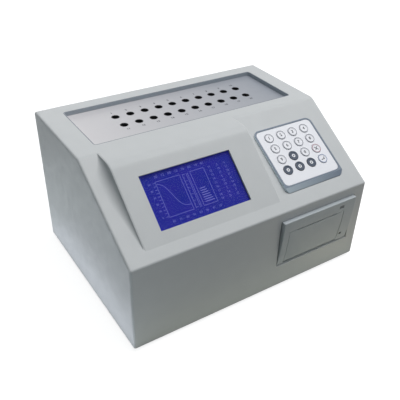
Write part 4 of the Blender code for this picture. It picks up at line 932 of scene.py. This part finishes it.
def draw_curve(screen):
    """A sedimentation curve: slow, then fast, then slow again."""
    left, width = CURVE_ACROSS_SHARES
    top, drop = CURVE_DOWN_SHARES
    points = []
    for step in range(CURVE_STEPS + 1):
        time = step / CURVE_STEPS
        fall = 1 / (1 + math.exp(CURVE_STEEPNESS * (CURVE_MIDDLE_SHARE - time)))
        points.append((screen.x(left + width * time), screen.y(top - drop * fall)))
    for start, end in zip(points, points[1:]):
        line_shape(screen.shape, start, end, SCREEN_DOT, screen.place)


def draw_numbers(screen):
    """Three columns of values, and a row of pairs of digits above and below."""
    for row in range(VALUE_ROWS):
        height = VALUE_START_SHARE - row * VALUE_STEP_SHARE
        values = (11 + row, 3 + row * 7 % 19, 6 + row * 5 % 17)
        for share, value in zip(VALUE_SHARES, values):
            screen.words(str(value), VALUE_TEXT, share, height)
    for index, pair in enumerate(PAIRS):
        across = PAIR_START_SHARE + index * PAIR_STEP_SHARE
        screen.words(pair, UPPER_TEXT, across, UPPER_ROW_SHARE)
        screen.words(pair[::-1], LOWER_TEXT, across, LOWER_ROW_SHARE)


def make_display_marks():
    screen = Screen()
    draw_plots(screen)
    draw_bars(screen)
    draw_curve(screen)
    draw_numbers(screen)
    put("screen_marks", mesh_from(screen.shape, "screen_marks"), LIT, smooth=False)


make_display_marks()


# Rear: screws, posts of the port and marks of the switch

# Screws
SCREW_HEAD = 0.0028
SCREW_RISE = 0.0012
SCREW_SINK = 0.0004
SCREW_INSET = 0.010
CROSS_THICKNESS = 0.00005
CROSS_STEP = 0.00002
DOME_STEPS = 6

# Turn of the first screw's cross and how much further each next one is turned, in radians
FIRST_TURN = 0.3
NEXT_TURN = 0.5

# Screw head: its edge as a share of its rise, and its foot and cross as shares of its radius
EDGE_SHARE = 0.35
FOOT_SHARE = 0.9
CROSS_REACH_SHARE = 0.55
CROSS_WIDTH_SHARE = 0.11

# Posts of the port
POST_INSET = 0.0031
POST_RADIUS = 0.0024
POST_LENGTH = 0.0033
POST_CHAMFER = 0.0003
POST_BORE = 0.0013
POST_BORE_FLOOR = 0.0022


def head_shape(shape, place, radius, rise):
    """Adds the pan head of a screw, standing on the place."""
    edge = rise * EDGE_SHARE
    profile = [(0, -SCREW_SINK), (radius * FOOT_SHARE, -SCREW_SINK), (radius, 0), (radius, edge)]
    for step in range(1, DOME_STEPS):
        angle = math.pi / 2 * step / DOME_STEPS
        profile.append((radius * math.cos(angle), edge + (rise - edge) * math.sin(angle)))
    profile.append((0, rise))
    turned_shape(shape, profile, place)


def cross_shape(shape, place, radius):
    """Adds the cross recess of a screw as two dark bars."""
    reach = radius * CROSS_REACH_SHARE
    width = radius * CROSS_WIDTH_SHARE
    above = place @ Matrix.Translation((0, 0, CROSS_STEP))
    bar_shape(shape, (-reach, reach), (-width, width), place, CROSS_THICKNESS)
    bar_shape(shape, (-width, width), (-reach, reach), above, CROSS_THICKNESS)


def screws(name, places, radius=SCREW_HEAD, rise=SCREW_RISE):
    """Steel screws, each turned a little further than the one before."""
    heads = bmesh.new()
    recesses = bmesh.new()
    for index, place in enumerate(places):
        head_shape(heads, place, radius, rise)
        turn = Matrix.Rotation(FIRST_TURN + NEXT_TURN * index, 4, "Z")
        cross_shape(recesses, place @ turn @ Matrix.Translation((0, 0, rise)), radius)
    put(name, mesh_from(heads, name), STEEL)
    put(name + "_recesses", mesh_from(recesses, name), BLACK, smooth=False)


REAR_LOW, REAR_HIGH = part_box("rear_panel")


def facing_back(place, normal=(0, 1, 0)):
    """A frame that faces backwards, with its X axis to the right of who looks at the rear."""
    return on_plane(place, normal, Vector((-1, 0, 0)))


def make_rear_screws():
    xs = (REAR_LOW.x + SCREW_INSET, (REAR_LOW.x + REAR_HIGH.x) / 2, REAR_HIGH.x - SCREW_INSET)
    zs = (REAR_LOW.z + SCREW_INSET, REAR_HIGH.z - SCREW_INSET)
    screws("rear_screws", [facing_back((x, REAR_HIGH.y, z)) for x in xs for z in zs])


def make_port_posts():
    """The two six-sided posts that a plug is screwed to."""
    port = NODES["serial_port"].data
    low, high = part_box("serial_port")
    middle = (low.z + high.z) / 2
    flange = min(face.center.y for face in port.polygons if face.normal.y > 0.9)
    profile = [
        (0, 0),
        (POST_RADIUS, 0),
        (POST_RADIUS, POST_LENGTH - POST_CHAMFER),
        (POST_RADIUS - POST_CHAMFER, POST_LENGTH),
        (POST_BORE, POST_LENGTH),
        (POST_BORE, POST_BORE_FLOOR),
        (0, POST_BORE_FLOOR),
    ]
    posts = bmesh.new()
    for x in (low.x + POST_INSET, high.x - POST_INSET):
        turned_shape(posts, profile, facing_back((x, flange, middle)), 6)
    put("port_posts", mesh_from(posts, "port_posts"), STEEL)


make_rear_screws()
make_port_posts()


MARK_RADIUS = 0.0018
MARK_HEIGHT = 0.0032
MARK_STROKE = 0.0005


def make_switch_marks():
    """The line and the circle that every power switch carries, on its two ends."""
    rocker = NODES["switch_rocker"].data
    backs = [face for face in rocker.polygons if face.normal.y > 0.5]
    upper = max(backs, key=lambda face: face.center.z)
    lower = min(backs, key=lambda face: face.center.z)
    marks = bmesh.new()
    line_place = facing_back(upper.center + upper.normal * INK_LIFT, upper.normal)
    half_stroke = MARK_STROKE / 2
    half_height = MARK_HEIGHT / 2
    bar_shape(marks, (-half_stroke, half_stroke), (-half_height, half_height), line_place)
    ring_place = facing_back(lower.center + lower.normal * INK_LIFT, lower.normal)
    ring_shape(marks, MARK_RADIUS - MARK_STROKE, MARK_RADIUS, ring_place)
    put("switch_marks", mesh_from(marks, "switch_marks"), INK_WHITE, "rocker", smooth=False)


make_switch_marks()


# Underside: a screw in the hollow of each foot

FOOT_SCREW_HEAD = 0.0030
FOOT_SCREW_RISE = 0.0011
FOOT_SCREW_LEVEL = 0.0015


def make_foot_screws():
    places = []
    for side in ("front_left", "front_right", "rear_left", "rear_right"):
        low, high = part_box("foot_" + side)
        middle = ((low.x + high.x) / 2, (low.y + high.y) / 2, FOOT_SCREW_LEVEL)
        places.append(on_plane(middle, (0, 0, -1)))
    screws("foot_screws", places, FOOT_SCREW_HEAD, FOOT_SCREW_RISE)


make_foot_screws()


# Floor, light and camera

# Floor: its size to each side, its level below the feet, how it looks and how it lights
FLOOR_REACH = 6.0
FLOOR_DROP = 0.0002
FLOOR_SHADE = (0.15, 0.15, 0.15, 1.0)
SEEN_SHADE = (0.30, 0.30, 0.30, 1.0)
SEEN_GLOW = 0.88

# World
SKY_COLOUR = (0.62, 0.90, 1.0, 1.0)
SKY_STRENGTH = 0.125
WHITE = (1.0, 1.0, 1.0, 1.0)

# Lamps: name, place, width and height, power. They point at LAMP_TARGET.
LAMP_TARGET = (0.0, 0.0, 0.10)
LAMPS = (
    ("overhead", (0.0, -0.16, 2.0), (1.2, 1.6), 19.3),
    ("overhead_right", (1.0, 0.0, 1.9), (1.0, 1.4), 13.0),
    ("overhead_front", (0.7, -0.9, 1.8), (1.0, 1.0), 5.5),
    ("right_fill", (2.2, 0.0, 0.4), (1.2, 1.2), 8.0),
    ("back_fill", (0.3, 2.2, 0.5), (1.2, 1.2), 7.0),
)
UNREFLECTED_LAMP = "overhead_front"

# Cards that light the sides from the floor: name, place, width and depth, power, colour
CARD_LEVEL = 0.002
CARDS = (
    ("left_card", (-0.30, 0.0), (0.27, 0.60), 0.33, (0.86, 0.97, 1.0)),
    ("left_strip", (-0.188, 0.0), (0.044, 0.27), 0.030, (0.85, 0.85, 1.0)),
    ("front_strip", (0.0, -0.146), (0.34, 0.044), 0.015, (0.95, 1.0, 0.70)),
    ("front_right_card", (0.15, -0.21), (0.12, 0.12), 0.024, (1.0, 0.86, 0.56)),
)


def math_node(tree, operation, first, second):
    """The result of a sum on two values, each a number or a socket."""
    made = tree.nodes.new("ShaderNodeMath")
    made.operation = operation
    for socket, value in zip(made.inputs, (first, second)):
        if isinstance(value, bpy.types.NodeSocket):
            tree.links.new(value, socket)
        else:
            socket.default_value = value
    return made.outputs[0]


def seen_ray(tree):
    """1 for the rays that show a surface to the camera, straight on or in metal and glass.

    It is 0 for a ray that a matt surface sent out, so that the surface adds no light to the object.
    """
    path = tree.nodes.new("ShaderNodeLightPath").outputs
    seen = math_node(tree, "MAXIMUM", path["Is Camera Ray"], path["Is Glossy Ray"])
    seen = math_node(tree, "MAXIMUM", seen, path["Is Transmission Ray"])
    direct = math_node(tree, "LESS_THAN", path["Diffuse Depth"], 1)
    return math_node(tree, "MULTIPLY", seen, direct)


def floor_material():
    """A pale surface. The camera also sees a glow of its own, so that it stays white around the shadow."""
    made = bpy.data.materials.new("floor")
    made.use_nodes = True
    tree = made.node_tree
    nodes = tree.nodes
    nodes.remove(nodes["Principled BSDF"])
    lit = nodes.new("ShaderNodeBsdfDiffuse")
    lit.inputs["Color"].default_value = FLOOR_SHADE
    seen = nodes.new("ShaderNodeBsdfDiffuse")
    seen.inputs["Color"].default_value = SEEN_SHADE
    glow = nodes.new("ShaderNodeEmission")
    glow.inputs["Strength"].default_value = SEEN_GLOW
    add = nodes.new("ShaderNodeAddShader")
    mix = nodes.new("ShaderNodeMixShader")
    tree.links.new(seen.outputs[0], add.inputs[0])
    tree.links.new(glow.outputs[0], add.inputs[1])
    tree.links.new(seen_ray(tree), mix.inputs[0])
    tree.links.new(lit.outputs[0], mix.inputs[1])
    tree.links.new(add.outputs[0], mix.inputs[2])
    tree.links.new(mix.outputs[0], nodes["Material Output"].inputs["Surface"])
    return made


def make_floor():
    shape = bmesh.new()
    bmesh.ops.create_grid(shape, x_segments=8, y_segments=8, size=FLOOR_REACH)
    mesh = bpy.data.meshes.new("floor")
    shape.to_mesh(mesh)
    shape.free()
    mesh.materials.append(floor_material())
    floor = bpy.data.objects.new("floor", mesh)
    floor.location.z = -FLOOR_DROP
    bpy.context.scene.collection.objects.link(floor)


def make_world():
    """A dim sky that lights the object, and white where it is seen."""
    world = bpy.data.worlds.new("studio")
    world.use_nodes = True
    bpy.context.scene.world = world
    tree = world.node_tree
    sky = tree.nodes["Background"]
    sky.inputs["Color"].default_value = SKY_COLOUR
    sky.inputs["Strength"].default_value = SKY_STRENGTH
    white = tree.nodes.new("ShaderNodeBackground")
    white.inputs["Color"].default_value = WHITE
    mix = tree.nodes.new("ShaderNodeMixShader")
    tree.links.new(seen_ray(tree), mix.inputs[0])
    tree.links.new(sky.outputs[0], mix.inputs[1])
    tree.links.new(white.outputs[0], mix.inputs[2])
    tree.links.new(mix.outputs[0], tree.nodes["World Output"].inputs["Surface"])


def area_light(name, place, target, size, power):
    """A rectangular lamp that points at a target."""
    data = bpy.data.lights.new(name, "AREA")
    data.shape = "RECTANGLE"
    data.size, data.size_y = size
    data.energy = power
    made = bpy.data.objects.new(name, data)
    made.location = place
    made.rotation_euler = (Vector(target) - Vector(place)).to_track_quat("-Z", "Y").to_euler()
    bpy.context.scene.collection.objects.link(made)
    return made


def make_lights():
    for name, place, size, power in LAMPS:
        lamp = area_light(name, place, LAMP_TARGET, size, power)
        lamp.visible_glossy = name != UNREFLECTED_LAMP
        lamp.visible_transmission = name != UNREFLECTED_LAMP
    for name, (x, y), size, power, colour in CARDS:
        card = area_light(name, (x, y, CARD_LEVEL), (x, y, ABOVE), size, power)
        card.data.color = colour
        card.visible_camera = False


def make_camera():
    data = bpy.data.cameras.new("camera")
    data.sensor_width = SENSOR
    data.lens = FOCAL_PIXELS / IMAGE * SENSOR
    data.shift_x = -(PRINCIPAL_X - IMAGE / 2) / IMAGE
    data.shift_y = (PRINCIPAL_Y - IMAGE / 2) / IMAGE
    data.clip_start = NEAREST
    data.clip_end = FARTHEST
    made = bpy.data.objects.new("camera", data)
    made.location = CAMERA_PLACE
    made.rotation_euler = [math.radians(angle) for angle in CAMERA_TURN]
    bpy.context.scene.collection.objects.link(made)
    bpy.context.scene.camera = made


for old in [thing for thing in bpy.data.objects if thing.type in ("LIGHT", "CAMERA")]:
    bpy.data.objects.remove(old, do_unlink=True)
make_floor()
make_world()
make_lights()
make_camera()
bpy.context.scene.view_settings.view_transform = "Standard"
